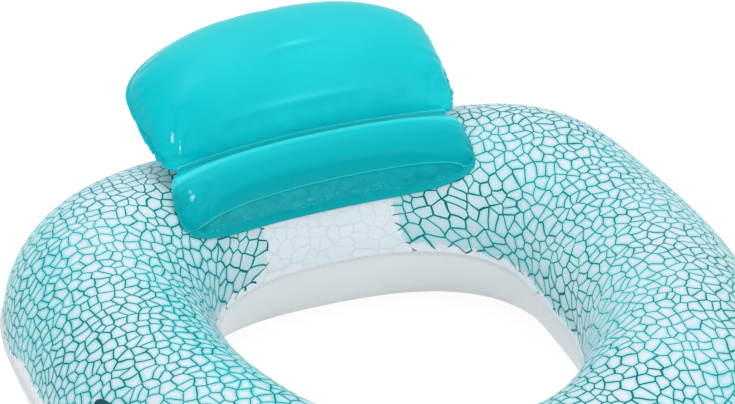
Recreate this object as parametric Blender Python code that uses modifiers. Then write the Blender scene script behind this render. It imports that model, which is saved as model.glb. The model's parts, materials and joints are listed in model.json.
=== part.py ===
"""Inflatable pool chair: a welded vinyl ring with an open seat, a two-chamber backrest,
two grab handles and two inflation valves.

The origin is on the ground, under the middle of the whole chair. +Y points to the
backrest, +X to the sitter's left and +Z up. The shapes are built about the middle of the
seat hole and shifted together at the end.
"""

import math

import bmesh
import bpy
from mathutils import Matrix, Vector

# Ring outline, in metres from the middle of the seat hole
RING_HALF_WIDTH = 0.525
RING_REAR_REACH = 0.426
RING_FRONT_REACH = 0.575
RING_REAR_POWER = 2.95
RING_FRONT_POWER = 2.5
HOLE_HALF_WIDTH = 0.240
HOLE_REAR_REACH = 0.173
HOLE_FRONT_REACH = 0.341
HOLE_REAR_POWER = 2.3
HOLE_FRONT_POWER = 2.5
# The tube hangs this far under its seams, and its underside is flat over this half angle
RING_DROP = 0.140
GROUND_HALF_ANGLE = math.radians(15.0)
RING_BEARINGS = 48
RING_TOP_STEPS = 9
RING_SLOPE_STEPS = 4

# Vinyl sheets and their welded seams
SHEET = 0.0003
SEAM_GAP = 0.0003
SEAM_WIDTH = 0.005
CLEARANCE = 0.0003
# What lies in the hollow side of the ring clears the skin's flat facets by this much
SKIN_ALLOWANCE = 0.0009

# Backrest: hem and crease; the crease lies in front of the rear tube's middle and over its crest
HEM_SECTION_MIDDLE = math.radians(142.0)
HEM_SECTION_END = math.radians(136.0)
HEM_HALF_WIDTH = 0.208
ROLL_HALF_WIDTH = 0.229
CREASE_HALF_WIDTH = 0.214
CREASE_SETBACK = 0.0370
CREASE_RISE = 0.0425
ROLL_CROWN = 0.047
CREASE_WELD = 0.007
ROLL_LEAN = math.radians(33.0)
BACKREST_SEAM_WIDTH = 0.006

# Backrest: upper chamber
UPPER_LENGTH = 0.208
UPPER_HALF_WIDTH = 0.243
UPPER_TOP_HALF_WIDTH = 0.105
UPPER_FRONT_CROWN = 0.064
UPPER_BACK_CROWN = 0.040
UPPER_LEAN = math.radians(28.0)
UPPER_CURL = math.radians(10.0)
UPPER_END_FORWARD = 0.035
UPPER_END_DROOP = 0.022

# Attachment strip under the hem
STRIP_HALF_LENGTH = 0.185
STRIP_WIDTH = 0.014
STRIP_THICKNESS = 0.0004
STRIP_STATIONS = 20

# Grab handles, on the outer upper side of each arm
HANDLE_SECTION = math.radians(44.0)
HANDLE_REAR_BEARING = math.radians(-23.7)
HANDLE_FRONT_BEARING = math.radians(-43.7)
HANDLE_RISE = 0.036
GRIP_HALF_WIDTH = 0.0115
GRIP_HALF_THICKNESS = 0.0055
FOOT_HALF_WIDTH = 0.0110
FOOT_HALF_THICKNESS = 0.0016
PATCH_HALF_LENGTH = 0.032
PATCH_HALF_WIDTH = 0.0135
PATCH_THICKNESS = 0.0009
PATCH_SEAT = 0.0007

# Valves
RING_VALVE_BEARING = math.radians(70.0)
RING_VALVE_SECTION = math.radians(20.0)
BACKREST_VALVE_OFFSET = 0.110
BACKREST_VALVE_REACH = 0.135
COLLAR_RADIUS = 0.0170
COLLAR_THICKNESS = 0.0010
COLLAR_NECK = 0.0040
COLLAR_NECK_WALL = 0.0016
STEM_RADIUS = 0.0065
STEM_WALL = 0.0020
STEM_HEIGHT = 0.0240
STEM_INSIDE = 0.0040
STEM_BEAD = 0.0009
STEM_BEAD_HEIGHT = 0.0018
PLUG_CAP_RADIUS = 0.0088
PLUG_CAP_HEIGHT = 0.0030
PLUG_SHAFT = 0.0075
TETHER_HEIGHT = 0.0125
TETHER_RING_WALL = 0.0016
TETHER_THICKNESS = 0.0012
TETHER_HALF_WIDTH = 0.0020
TETHER_REACH = 0.0165
FLAP_OVERLAP = 0.0008
FLAP_THICKNESS = 0.0005
TURNED_STEPS = 20

HOLE_DEPTH = 0.006

# How finely the surfaces are followed, welded and shaded
MERGE = 0.00001
FRAME_STEP = math.radians(0.5)
BISECTIONS = 40
SHARP_ANGLE = math.radians(40.0)

SEAM_HEIGHT = RING_DROP * math.cos(GROUND_HALF_ANGLE)
HALF_WELD = SEAM_GAP / 2 + SHEET
PATCH_TOP = PATCH_SEAT + PATCH_THICKNESS
STRIP_TOP = SKIN_ALLOWANCE + CLEARANCE + STRIP_THICKNESS
ROLL_SEAT = STRIP_TOP + CLEARANCE + HALF_WELD

# Shares that shape the crowns, as parts of a chamber's half length or half width
CROWN_ROW_SHARES = (-1.0, -0.97, -0.88, -0.72, -0.5, -0.22, 0.08, 0.38, 0.62, 0.8, 0.92, 0.98, 1.0)
CROWN_COLUMN_SHARES = (-1.0, -0.985, -0.94, -0.85, -0.68, -0.46, -0.22, 0.0,
                       0.22, 0.46, 0.68, 0.85, 0.94, 0.985, 1.0)
CROWN_LENGTH_POWER = 2.2
CROWN_WIDTH_POWER = 5.0
LIFT_POWER = 2.6
BACK_LIFT_POWER = 4.0
ROLL_END_POWER = 4.0
UPPER_TOP_POWER = 2.6
UPPER_FOOT_POWER = 2.0
UPPER_WIDEST_SHARE = 0.2
STRIP_WIDTH_SHARES = (-0.5, 0.0, 0.5)
HANDLE_FOOT_SHARE = 0.13
HANDLE_ARCH_POWER = 0.75
HANDLE_END_POWER = 10.0
HANDLE_TIP_SHARE = 0.45
HANDLE_STATIONS = 22
HANDLE_SIDES = 12
PATCH_CENTRE_SHARE = 0.6
PATCH_SHARES = (-0.99, -0.9, -0.7, -0.45, -0.15, 0.15, 0.45, 0.7, 0.9, 0.99)
PATCH_WIDTH_SHARES = (-1.0, -0.5, 0.0, 0.5, 1.0)
TETHER_STATIONS = 10
VALVE_STEP_SHARE = 0.02

VINYL_TEAL = (0.02, 0.62, 0.66, 1.0)
VINYL_DARK_TEAL = (0.02, 0.26, 0.30, 1.0)
VINYL_PRINTED = (0.62, 0.86, 0.87, 1.0)
VINYL_WHITE = (0.88, 0.90, 0.92, 1.0)
VINYL_CLEAR = (0.80, 0.88, 0.90, 1.0)


def clear_scene():
    """Removes what a new file holds."""
    for item in list(bpy.data.objects):
        bpy.data.objects.remove(item, do_unlink=True)


def new_collection(name):
    """Makes a collection and links it to the scene."""
    collection = bpy.data.collections.new(name)
    bpy.context.scene.collection.children.link(collection)
    return collection


def vinyl(name, color, roughness):
    """Returns a plain vinyl material."""
    material = bpy.data.materials.new(name)
    material.use_nodes = True
    shader = material.node_tree.nodes["Principled BSDF"]
    shader.inputs["Base Color"].default_value = color
    shader.inputs["Roughness"].default_value = roughness
    shader.inputs["Metallic"].default_value = 0.0
    material.diffuse_color = color
    return material


def finish_object(name, mesh, collection, color, roughness=0.25):
    """Links a mesh as an object with a material of its own and smooth shading."""
    item = bpy.data.objects.new(name, mesh)
    collection.objects.link(item)
    mesh.materials.append(vinyl(name + "_vinyl", color, roughness))
    mesh.shade_smooth()
    mesh.set_sharp_from_angle(angle=SHARP_ANGLE)
    return item


def grid_mesh(name, rows, closed):
    """Lofts a mesh through rows of points; closed joins each row's ends."""
    mesh = bpy.data.meshes.new(name)
    shape = bmesh.new()
    grid = [[shape.verts.new(point) for point in row] for row in rows]
    count = len(rows[0])
    last = count if closed else count - 1
    for lower, upper in zip(grid, grid[1:]):
        for i in range(last):
            j = (i + 1) % count
            shape.faces.new((lower[i], lower[j], upper[j], upper[i]))
    return mesh, shape, grid


def sheet(name, rows, closed, thickness, inward, collection, color, roughness=0.2):
    """Makes a thin shell behind an open lofted surface whose faces point out of the vinyl."""
    mesh, shape, _ = grid_mesh(name, rows, closed)
    if inward:
        bmesh.ops.reverse_faces(shape, faces=shape.faces[:])
    shape.to_mesh(mesh)
    shape.free()
    item = finish_object(name, mesh, collection, color, roughness)
    shell = item.modifiers.new("Sheet", "SOLIDIFY")
    shell.thickness = thickness
    shell.offset = -1.0
    shell.use_even_offset = True
    return item


def lofted_solid(name, sections, collection, color, roughness=0.35):
    """Lofts closed sections into a solid with flat ends."""
    mesh, shape, grid = grid_mesh(name, sections, closed=True)
    shape.faces.new(list(reversed(grid[0])))
    shape.faces.new(grid[-1])
    bmesh.ops.recalc_face_normals(shape, faces=shape.faces[:])
    shape.to_mesh(mesh)
    shape.free()
    return finish_object(name, mesh, collection, color, roughness)


def outline_radius(bearing, half_width, rear, front, rear_power, front_power):
    """Radius of an egg-shaped superellipse at a bearing from +X."""
    across = abs(math.cos(bearing)) / half_width
    along = math.sin(bearing)
    reach = rear if along >= 0 else front
    power = rear_power if along >= 0 else front_power
    return (across ** power + (abs(along) / reach) ** power) ** (-1 / power)


def ring_section(bearing):
    """Centre radius and half width of the tube at a bearing."""
    outer = outline_radius(bearing, RING_HALF_WIDTH, RING_REAR_REACH, RING_FRONT_REACH,
                           RING_REAR_POWER, RING_FRONT_POWER)
    inner = outline_radius(bearing, HOLE_HALF_WIDTH, HOLE_REAR_REACH, HOLE_FRONT_REACH,
                           HOLE_REAR_POWER, HOLE_FRONT_POWER)
    return (outer + inner) / 2, (outer - inner) / 2


def ring_point(bearing, section, lift=0.0, side=0.0):
    """Point on the tube's skin: section 0 is the outer seam, 90 degrees the crest.

    lift moves it off the skin, and side shifts it up or down at the seam.
    """
    centre, half = ring_section(bearing)
    height = half if math.sin(section) >= 0 else RING_DROP
    radius = centre + (half + lift) * math.cos(section)
    level = SEAM_HEIGHT + side + (height + lift) * math.sin(section)
    if section > math.pi:
        level = max(level, lift)
    return Vector((radius * math.cos(bearing), radius * math.sin(bearing), level))


def ring_bearing(across, section, lift):
    """Bearing in the rear right quarter at which the skin point lies at this x."""
    low, high = 0.0, math.pi / 2
    for _ in range(BISECTIONS):
        middle = (low + high) / 2
        if ring_point(middle, section, lift).x > across:
            low = middle
        else:
            high = middle
    return (low + high) / 2


def ring_place(point):
    """Section angle and lift of a point above the seams."""
    bearing = math.atan2(point.y, point.x)
    centre, half = ring_section(bearing)
    out = math.hypot(point.x, point.y) - centre
    up = point.z - SEAM_HEIGHT
    return math.atan2(up, out), math.hypot(out, up) - half


def ring_frame(bearing, section, lift):
    """Matrix over the skin: Z square to it, X along the tube, Y across."""
    skin = ring_point(bearing, section)
    along = (ring_point(bearing + FRAME_STEP, section) - skin).normalized()
    around = (ring_point(bearing, section + FRAME_STEP) - skin).normalized()
    out = along.cross(around).normalized()
    if out.dot(ring_point(bearing, section, SHEET) - skin) < 0:
        out.negate()
    across = out.cross(along).normalized()
    matrix = Matrix((along, across, out)).transposed().to_4x4()
    matrix.translation = skin + out * lift
    return matrix


def ring_rows(sections, side):
    """Rows of skin points round the ring, with a welded seam strip at each edge."""
    bearings = [2 * math.pi * i / RING_BEARINGS for i in range(RING_BEARINGS)]
    rows = [[ring_point(b, section, side=side) for b in bearings] for section in sections]
    start, finish = [], []
    for bearing, first, last in zip(bearings, rows[0], rows[-1]):
        out = Vector((math.cos(bearing), math.sin(bearing), 0.0)) * SEAM_WIDTH
        if first.xy.length < last.xy.length:
            out.negate()
        start.append(first + out)
        finish.append(last - out)
    return [start] + rows + [finish]


def build_ring(parts, hole):
    """Makes the ring's two sheets and cuts the valve's hole in the top one."""
    top_sections = [math.pi * i / RING_TOP_STEPS for i in range(RING_TOP_STEPS + 1)]
    top = sheet("ring_top_sheet", ring_rows(top_sections, HALF_WELD), True, SHEET, False, parts,
                VINYL_PRINTED)
    down = 1.5 * math.pi
    slope = (down - GROUND_HALF_ANGLE - math.pi) / RING_SLOPE_STEPS
    turns = [slope * i for i in range(RING_SLOPE_STEPS + 1)]
    inner_side = [math.pi + turn for turn in turns]
    outer_side = [2 * math.pi - turn for turn in reversed(turns)]
    bottom_sections = inner_side + [down] + outer_side
    sheet("ring_bottom_sheet", ring_rows(bottom_sections, -HALF_WELD), True, SHEET, False, parts,
          VINYL_WHITE)
    cut(top, hole)


def cut(item, cutter):
    """Cuts one object from another."""
    hole = item.modifiers.new("Hole", "BOOLEAN")
    hole.operation = "DIFFERENCE"
    hole.object = cutter


def chamber_width(share, low, widest, high, widest_share, low_power, high_power):
    """Half width of a chamber along its length, from its lower to its upper edge."""
    if share > widest_share:
        part = ((share - widest_share) / (1 - widest_share)) ** high_power
        return high + (widest - high) * max(1 - part, 0.0) ** (1 / high_power)
    part = ((widest_share - share) / (1 + widest_share)) ** low_power
    return low + (widest - low) * max(1 - part, 0.0) ** (1 / low_power)


def crown(length_share, width_share, length_power=CROWN_LENGTH_POWER):
    """Share of the crown's height: nothing on the welded edge, one in the middle."""
    along = max(1 - abs(length_share) ** length_power, 0.0)
    across = max(1 - abs(width_share) ** CROWN_WIDTH_POWER, 0.0)
    return math.sqrt(along * across)


def crease_line(across, reach, lean):
    """Point at a distance from the hinge line of the crease, seen from the side."""
    centre, half = ring_section(math.pi / 2)
    line = Vector((across, centre - CREASE_SETBACK, SEAM_HEIGHT + half + CREASE_RISE))
    return line + Vector((0.0, math.cos(lean), math.sin(lean))) * reach


def hem_section(across):
    """Section angle of the backrest's hem at a distance from the middle."""
    spread = HEM_SECTION_END - HEM_SECTION_MIDDLE
    return HEM_SECTION_MIDDLE + spread * (across / HEM_HALF_WIDTH) ** 2


def roll_point(length_share, width_share, front, weld=0.0, end=0.0):
    """Point on the lower roll, which lies against the ring between its hem and the crease.

    weld and end carry it out over the welded edge, along the roll and past its ends.
    """
    half = chamber_width(length_share, HEM_HALF_WIDTH, ROLL_HALF_WIDTH, CREASE_HALF_WIDTH,
                         0.0, ROLL_END_POWER, ROLL_END_POWER)
    across = half * abs(width_share) + end
    edge_section, edge_lift = ring_place(crease_line(across, -CREASE_WELD, ROLL_LEAN))
    low_section = hem_section(across)
    share = (length_share + 1) / 2
    puff = crown(length_share, width_share)
    rise = edge_lift - ROLL_SEAT
    plane = rise * share ** LIFT_POWER
    if front:
        lift = ROLL_SEAT + plane + ROLL_CROWN * puff + HALF_WELD
    else:
        lift = ROLL_SEAT + plane - rise * (share ** LIFT_POWER - share ** BACK_LIFT_POWER) * puff
        lift -= HALF_WELD
    if weld > 0:
        place = crease_line(across, -weld, ROLL_LEAN)
        normal = Vector((0.0, -math.sin(ROLL_LEAN), math.cos(ROLL_LEAN)))
        point = place + normal * (HALF_WELD if front else -HALF_WELD)
    else:
        half_tube = ring_section(math.pi / 2)[1]
        section = low_section + (edge_section - low_section) * share - weld / half_tube
        point = ring_point(ring_bearing(across, section, lift), section, lift)
    point.x = math.copysign(across, width_share)
    return point


def upper_point(length_share, width_share, front, weld=0.0, end=0.0):
    """Point on the upper chamber, which leans back from the crease."""
    share = (length_share + 1) / 2
    half = chamber_width(length_share, CREASE_HALF_WIDTH, UPPER_HALF_WIDTH,
                         UPPER_TOP_HALF_WIDTH, UPPER_WIDEST_SHARE, UPPER_FOOT_POWER,
                         UPPER_TOP_POWER)
    across = half * abs(width_share) + end
    out = across / UPPER_HALF_WIDTH
    place = crease_line(math.copysign(across, width_share),
                        CREASE_WELD + UPPER_LENGTH * share + weld,
                        UPPER_LEAN + UPPER_CURL * share / 2)
    place += Vector((0.0, -UPPER_END_FORWARD, -UPPER_END_DROOP)) * share * out ** 2
    lean = UPPER_LEAN + UPPER_CURL * share
    normal = Vector((0.0, -math.sin(lean), math.cos(lean)))
    puff = crown(length_share, width_share)
    if front:
        return place + normal * (UPPER_FRONT_CROWN * puff + HALF_WELD)
    return place - normal * (UPPER_BACK_CROWN * puff ** 2 + HALF_WELD)


def chamber_rows(place, front, lower_weld, upper_weld):
    """Rows of points of one sheet of a chamber, with its welded edge all round."""
    stations = [(-1.0, lower_weld)]
    stations += [(share, 0.0) for share in CROWN_ROW_SHARES]
    stations += [(1.0, upper_weld)]
    rows = []
    for share, weld in stations:
        row = [place(share, -1.0, front, weld, BACKREST_SEAM_WIDTH)]
        row += [place(share, column, front, weld) for column in CROWN_COLUMN_SHARES]
        row += [place(share, 1.0, front, weld, BACKREST_SEAM_WIDTH)]
        rows.append(row)
    return rows


def hold(item, pivot):
    """Parents an item to an empty and leaves it where it is."""
    item.parent = pivot
    item.matrix_parent_inverse = pivot.matrix_basis.inverted()


def build_backrest(parts, hinge, hole):
    """Makes the backrest's four sheets, the upper two on the hinge of the crease."""
    sides = (("front", True), ("back", False))
    for side, front in sides:
        rows = chamber_rows(roll_point, front, -BACKREST_SEAM_WIDTH, SEAM_GAP / 2)
        sheet(f"backrest_lower_{side}_sheet", rows, False, SHEET, not front, parts, VINYL_TEAL)
    for side, front in sides:
        to_hinge = SEAM_GAP / 2 - CREASE_WELD
        rows = chamber_rows(upper_point, front, to_hinge, BACKREST_SEAM_WIDTH)
        panel = sheet(f"backrest_upper_{side}_sheet", rows, False, SHEET, not front, parts,
                      VINYL_TEAL)
        hold(panel, hinge)
        if not front:
            cut(panel, hole)


def build_strip(parts):
    """Makes the strip that welds the backrest's hem to the ring."""
    rows = []
    half_tube = ring_section(math.pi / 2)[1]
    for i in range(STRIP_STATIONS + 1):
        across_share = 2 * i / STRIP_STATIONS - 1
        across = STRIP_HALF_LENGTH * abs(across_share)
        row = []
        for width_share in STRIP_WIDTH_SHARES:
            section = hem_section(across) + STRIP_WIDTH * width_share / half_tube
            point = ring_point(ring_bearing(across, section, STRIP_TOP), section, STRIP_TOP)
            point.x = math.copysign(across, across_share)
            row.append(point)
        rows.append(row)
    sheet("backrest_attachment_strip", rows, False, STRIP_THICKNESS, False, parts, VINYL_CLEAR)


def mirrored(point, side):
    """Mirrors a point to the side with negative x."""
    return Vector((point.x * side, point.y, point.z))


def handle_arch(share):
    """Share of the handle's rise along it: nothing on its feet, one in the middle."""
    arch = min(max((share - HANDLE_FOOT_SHARE) / (1 - 2 * HANDLE_FOOT_SHARE), 0.0), 1.0)
    return math.sin(math.pi * arch) ** HANDLE_ARCH_POWER


def build_handle(name, side, parts):
    """Makes one grab handle and the patches that weld it to an arm."""
    spread = HANDLE_FRONT_BEARING - HANDLE_REAR_BEARING
    path, frames, halves = [], [], []
    for i in range(HANDLE_STATIONS + 1):
        share = i / HANDLE_STATIONS
        grip = handle_arch(share)
        width = FOOT_HALF_WIDTH + (GRIP_HALF_WIDTH - FOOT_HALF_WIDTH) * grip
        thickness = FOOT_HALF_THICKNESS + (GRIP_HALF_THICKNESS - FOOT_HALF_THICKNESS) * grip
        lift = PATCH_TOP + CLEARANCE + thickness + HANDLE_RISE * grip
        frame = ring_frame(HANDLE_REAR_BEARING + spread * share, HANDLE_SECTION, lift)
        end = math.sqrt(max(1 - abs(2 * share - 1) ** HANDLE_END_POWER, 0.0))
        frames.append(frame)
        path.append(frame.translation)
        halves.append((width * max(end, HANDLE_TIP_SHARE), thickness))
    sections = []
    for i, point in enumerate(path):
        ahead = path[min(i + 1, HANDLE_STATIONS)] - path[max(i - 1, 0)]
        across = frames[i].col[1].xyz.normalized()
        out = ahead.cross(across).normalized()
        if out.dot(frames[i].col[2].xyz) < 0:
            out.negate()
        width, thickness = halves[i]
        section = []
        for j in range(HANDLE_SIDES):
            turn = 2 * math.pi * j / HANDLE_SIDES
            spot = point + across * (width * math.cos(turn)) + out * (thickness * math.sin(turn))
            section.append(mirrored(spot, side))
        sections.append(section)
    lofted_solid(f"{name}_handle_grip", sections, parts, VINYL_DARK_TEAL)
    middle = HANDLE_FOOT_SHARE * PATCH_CENTRE_SHARE
    for place, share in (("rear", middle), ("front", 1 - middle)):
        bearing = HANDLE_REAR_BEARING + spread * share
        build_patch(f"{name}_handle_{place}_patch", bearing, side, parts)


def build_patch(name, bearing, side, parts):
    """Makes an oval patch that lies on the ring's skin."""
    centre, half = ring_section(bearing)
    reach = centre + half * math.cos(HANDLE_SECTION)
    rows = []
    for length_share in PATCH_SHARES:
        row = []
        width = PATCH_HALF_WIDTH * math.sqrt(1 - length_share ** 2)
        for width_share in PATCH_WIDTH_SHARES:
            section = HANDLE_SECTION + width * width_share / half
            turn = bearing + PATCH_HALF_LENGTH * length_share / reach
            row.append(mirrored(ring_frame(turn, section, PATCH_TOP).translation, side))
        rows.append(row)
    sheet(name, rows, False, PATCH_THICKNESS, side > 0, parts, VINYL_DARK_TEAL)


def turned(name, profile, closed, parent, parts, color):
    """Turns a profile of (radius, height) points about its frame's Z axis."""
    mesh = bpy.data.meshes.new(name)
    shape = bmesh.new()
    points = [shape.verts.new((radius, 0.0, height)) for radius, height in profile]
    for first, second in zip(points, points[1:]):
        shape.edges.new((first, second))
    if closed:
        shape.edges.new((points[-1], points[0]))
    shape.to_mesh(mesh)
    shape.free()
    item = finish_object(name, mesh, parts, color)
    spin = item.modifiers.new("Turn", "SCREW")
    spin.steps = TURNED_STEPS
    spin.render_steps = TURNED_STEPS
    spin.use_merge_vertices = True
    spin.merge_threshold = MERGE
    spin.use_smooth_shade = True
    item.parent = parent
    return item


def ring_profile(inner, outer, low, high):
    """Closed profile of a plain ring, down its outer side first."""
    return [(outer, high), (outer, low), (inner, low), (inner, high)]


def new_axis(name, frame, parts):
    """Makes an empty at a frame, for pieces that move about it."""
    axis = bpy.data.objects.new(name, None)
    parts.objects.link(axis)
    axis.matrix_basis = frame
    return axis


def build_valve(name, seat, parts, cutters):
    """Makes a valve whose collar lies on a sheet: Z of its seat points out of the vinyl."""
    base = CLEARANCE
    bore = STEM_RADIUS + CLEARANCE
    neck = bore + COLLAR_NECK_WALL
    disc_top = base + COLLAR_THICKNESS
    neck_top = base + COLLAR_NECK
    turned(f"{name}_collar",
           [(neck, neck_top), (neck, disc_top + COLLAR_THICKNESS),
            (neck + COLLAR_THICKNESS, disc_top), (COLLAR_RADIUS, disc_top), (COLLAR_RADIUS, base),
            (bore, base), (bore, neck_top)],
           True, seat, parts, VINYL_CLEAR)
    stem_bore = STEM_RADIUS - STEM_WALL
    bead = STEM_RADIUS + STEM_BEAD
    bead_low = STEM_HEIGHT - STEM_BEAD_HEIGHT
    turned(f"{name}_stem",
           [(bead - STEM_BEAD, STEM_HEIGHT), (bead, STEM_HEIGHT - STEM_BEAD), (bead, bead_low),
            (STEM_RADIUS, bead_low - STEM_BEAD), (STEM_RADIUS, -STEM_INSIDE),
            (stem_bore, -STEM_INSIDE), (stem_bore, STEM_HEIGHT)],
           True, seat, parts, VINYL_CLEAR)
    build_flap(name, seat, stem_bore + FLAP_OVERLAP, parts)
    shaft = stem_bore - CLEARANCE
    cap_low = STEM_HEIGHT + CLEARANCE
    cap_high = cap_low + PLUG_CAP_HEIGHT
    turned(f"{name}_plug",
           [(0.0, cap_high), (PLUG_CAP_RADIUS - STEM_BEAD, cap_high),
            (PLUG_CAP_RADIUS, cap_high - STEM_BEAD), (PLUG_CAP_RADIUS, cap_low), (shaft, cap_low),
            (shaft, STEM_HEIGHT - PLUG_SHAFT + STEM_BEAD),
            (shaft - STEM_BEAD, STEM_HEIGHT - PLUG_SHAFT), (0.0, STEM_HEIGHT - PLUG_SHAFT)],
           False, seat, parts, VINYL_CLEAR)
    build_tether(name, seat, cap_low, parts, cutters)
    drill = turned(f"{name}_hole",
                   [(0.0, COLLAR_NECK), (bore, COLLAR_NECK), (bore, -HOLE_DEPTH), (0.0, -HOLE_DEPTH)],
                   False, seat, cutters, VINYL_CLEAR)
    drill.hide_render = True
    drill.display_type = "WIRE"
    return drill


def build_flap(name, seat, radius, parts):
    """Makes the check flap under the stem, with its origin on the edge where it bends."""
    mesh = bpy.data.meshes.new(f"{name}_flap")
    shape = bmesh.new()
    bmesh.ops.create_cone(shape, cap_ends=True, segments=TURNED_STEPS, radius1=radius,
                          radius2=radius, depth=FLAP_THICKNESS,
                          matrix=Matrix.Translation((radius, 0.0, -FLAP_THICKNESS / 2)))
    shape.to_mesh(mesh)
    shape.free()
    flap = finish_object(f"{name}_flap", mesh, parts, VINYL_CLEAR)
    flap.parent = seat
    flap.location = (-radius, 0.0, -STEM_INSIDE - CLEARANCE)


def build_tether(name, seat, cap_low, parts, cutters):
    """Makes the strap from a loose ring round the stem to the rim of the plug."""
    inner = STEM_RADIUS + CLEARANCE
    outer = inner + TETHER_RING_WALL
    loop = turned(f"{name}_tether_ring",
                  ring_profile(inner, outer, TETHER_HEIGHT, TETHER_HEIGHT + TETHER_THICKNESS * 2),
                  True, seat, cutters, VINYL_CLEAR)
    loop.hide_render = True
    loop.display_type = "WIRE"
    start = Vector((inner + TETHER_RING_WALL / 2, 0.0, TETHER_HEIGHT + TETHER_THICKNESS))
    finish = Vector((PLUG_CAP_RADIUS + CLEARANCE, 0.0, cap_low + PLUG_CAP_HEIGHT / 2))
    sections = []
    for i in range(TETHER_STATIONS + 1):
        turn = math.pi * i / TETHER_STATIONS
        share = (1 - math.cos(turn)) / 2
        point = start.lerp(finish, share)
        point.x += (TETHER_REACH - finish.x) * math.sin(turn)
        ahead_x = (finish.x - start.x) * math.sin(turn) / 2
        ahead_x += (TETHER_REACH - finish.x) * math.cos(turn)
        ahead = Vector((ahead_x, 0.0, (finish.z - start.z) * math.sin(turn) / 2)).normalized()
        out = Vector((ahead.z, 0.0, -ahead.x)) * TETHER_THICKNESS / 2
        side = Vector((0.0, TETHER_HALF_WIDTH, 0.0))
        sections.append([point + out + side, point - out + side, point - out - side,
                         point + out - side])
    strap = lofted_solid(f"{name}_tether", sections, parts, VINYL_CLEAR)
    strap.parent = seat
    join = strap.modifiers.new("Ring", "BOOLEAN")
    join.operation = "UNION"
    join.object = loop


def backrest_valve_frame():
    """Frame on the upper chamber's back sheet, with Z out of it."""
    length_share = 2 * BACKREST_VALVE_REACH / UPPER_LENGTH - 1
    width_share = BACKREST_VALVE_OFFSET / UPPER_HALF_WIDTH
    step = VALVE_STEP_SHARE
    origin = upper_point(length_share, width_share, False)
    along = (upper_point(length_share, width_share + step, False) - origin).normalized()
    up = (upper_point(length_share + step, width_share, False) - origin).normalized()
    out = up.cross(along).normalized()
    across = out.cross(along).normalized()
    matrix = Matrix((along, across, out)).transposed().to_4x4()
    matrix.translation = origin
    return matrix


def centre_on_origin(parts, cutters):
    """Shifts all of it so that the origin lies under the middle of the chair."""
    front = RING_FRONT_REACH + SEAM_WIDTH
    rear = upper_point(1.0, 0.0, False, BACKREST_SEAM_WIDTH).y
    loose = [item for item in (*parts.objects, *cutters.objects) if item.parent is None]
    middle = new_axis("chair_middle", Matrix.Translation((0.0, (front - rear) / 2, 0.0)), parts)
    for item in loose:
        item.parent = middle


def build_chair():
    """Builds the whole chair."""
    clear_scene()
    parts = new_collection("inflatable_pool_chair")
    cutters = new_collection("cutters")
    crease = Matrix.Translation(crease_line(0.0, 0.0, 0.0))
    hinge = new_axis("backrest_fold_axis", crease, parts)
    ring_seat = new_axis("ring_valve_axis", ring_frame(RING_VALVE_BEARING, RING_VALVE_SECTION, 0.0),
                         parts)
    backrest_seat = new_axis("backrest_valve_axis", backrest_valve_frame(), parts)
    hold(backrest_seat, hinge)
    build_ring(parts, build_valve("ring_valve", ring_seat, parts, cutters))
    build_backrest(parts, hinge, build_valve("backrest_valve", backrest_seat, parts, cutters))
    build_strip(parts)
    for name, side in (("left", 1.0), ("right", -1.0)):
        build_handle(name, side, parts)
    centre_on_origin(parts, cutters)


build_chair()
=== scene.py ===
"""Looks of the inflatable pool chair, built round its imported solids.

The ring is two welded vinyl sheets, the upper one printed with an irregular water net.
The backrest is one air cushion of two chambers that folds at its welded crease. Two grab
handles sit on the arms, and each chamber group has an inflation valve.

Lengths are in metres. Shapes are worked out about the middle of the seat hole, with
+Y to the backrest, and then moved along Y to the frame of the solids.
"""

import json
import logging
import math
from dataclasses import dataclass
from enum import Enum
from typing import Dict, Optional, Sequence, Tuple

import bmesh
import bpy
import numpy as np
from mathutils import Matrix, Vector


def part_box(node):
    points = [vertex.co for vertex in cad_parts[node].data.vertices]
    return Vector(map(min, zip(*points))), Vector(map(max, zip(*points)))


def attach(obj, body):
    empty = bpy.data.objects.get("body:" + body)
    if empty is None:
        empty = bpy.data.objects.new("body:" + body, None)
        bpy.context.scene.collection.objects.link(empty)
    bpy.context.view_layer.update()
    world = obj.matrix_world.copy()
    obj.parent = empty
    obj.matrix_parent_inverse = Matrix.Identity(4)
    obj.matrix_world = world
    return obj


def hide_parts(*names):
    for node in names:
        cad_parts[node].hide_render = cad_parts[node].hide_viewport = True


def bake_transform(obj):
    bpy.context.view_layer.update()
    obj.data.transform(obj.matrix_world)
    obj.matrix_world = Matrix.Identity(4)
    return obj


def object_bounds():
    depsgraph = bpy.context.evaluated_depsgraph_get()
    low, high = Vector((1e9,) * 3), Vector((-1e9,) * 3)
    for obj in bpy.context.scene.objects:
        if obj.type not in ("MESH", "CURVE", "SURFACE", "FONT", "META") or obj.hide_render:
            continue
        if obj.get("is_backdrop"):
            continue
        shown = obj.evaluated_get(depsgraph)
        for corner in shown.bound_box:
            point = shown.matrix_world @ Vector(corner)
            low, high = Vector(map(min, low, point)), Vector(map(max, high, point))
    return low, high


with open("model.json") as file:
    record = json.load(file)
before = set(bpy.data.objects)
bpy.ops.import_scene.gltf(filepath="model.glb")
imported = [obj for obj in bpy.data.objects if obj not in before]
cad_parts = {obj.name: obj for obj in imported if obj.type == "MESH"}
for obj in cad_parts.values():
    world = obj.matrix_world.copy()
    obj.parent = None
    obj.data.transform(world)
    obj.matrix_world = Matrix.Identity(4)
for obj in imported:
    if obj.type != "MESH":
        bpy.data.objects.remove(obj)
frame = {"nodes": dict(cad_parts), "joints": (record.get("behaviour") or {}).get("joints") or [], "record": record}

LOG = logging.getLogger("pool_chair")

Array = np.ndarray
Colour = Tuple[float, float, float]
Material = bpy.types.Material
Node = bpy.types.Node
Pair = Tuple[float, float]
Piece = bpy.types.Object
Socket = bpy.types.NodeSocket
Tree = bpy.types.NodeTree


class Body(Enum):
    """Bodies of the frame that new pieces ride on."""

    RING = "ring"
    BACKREST = "backrest"


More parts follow.
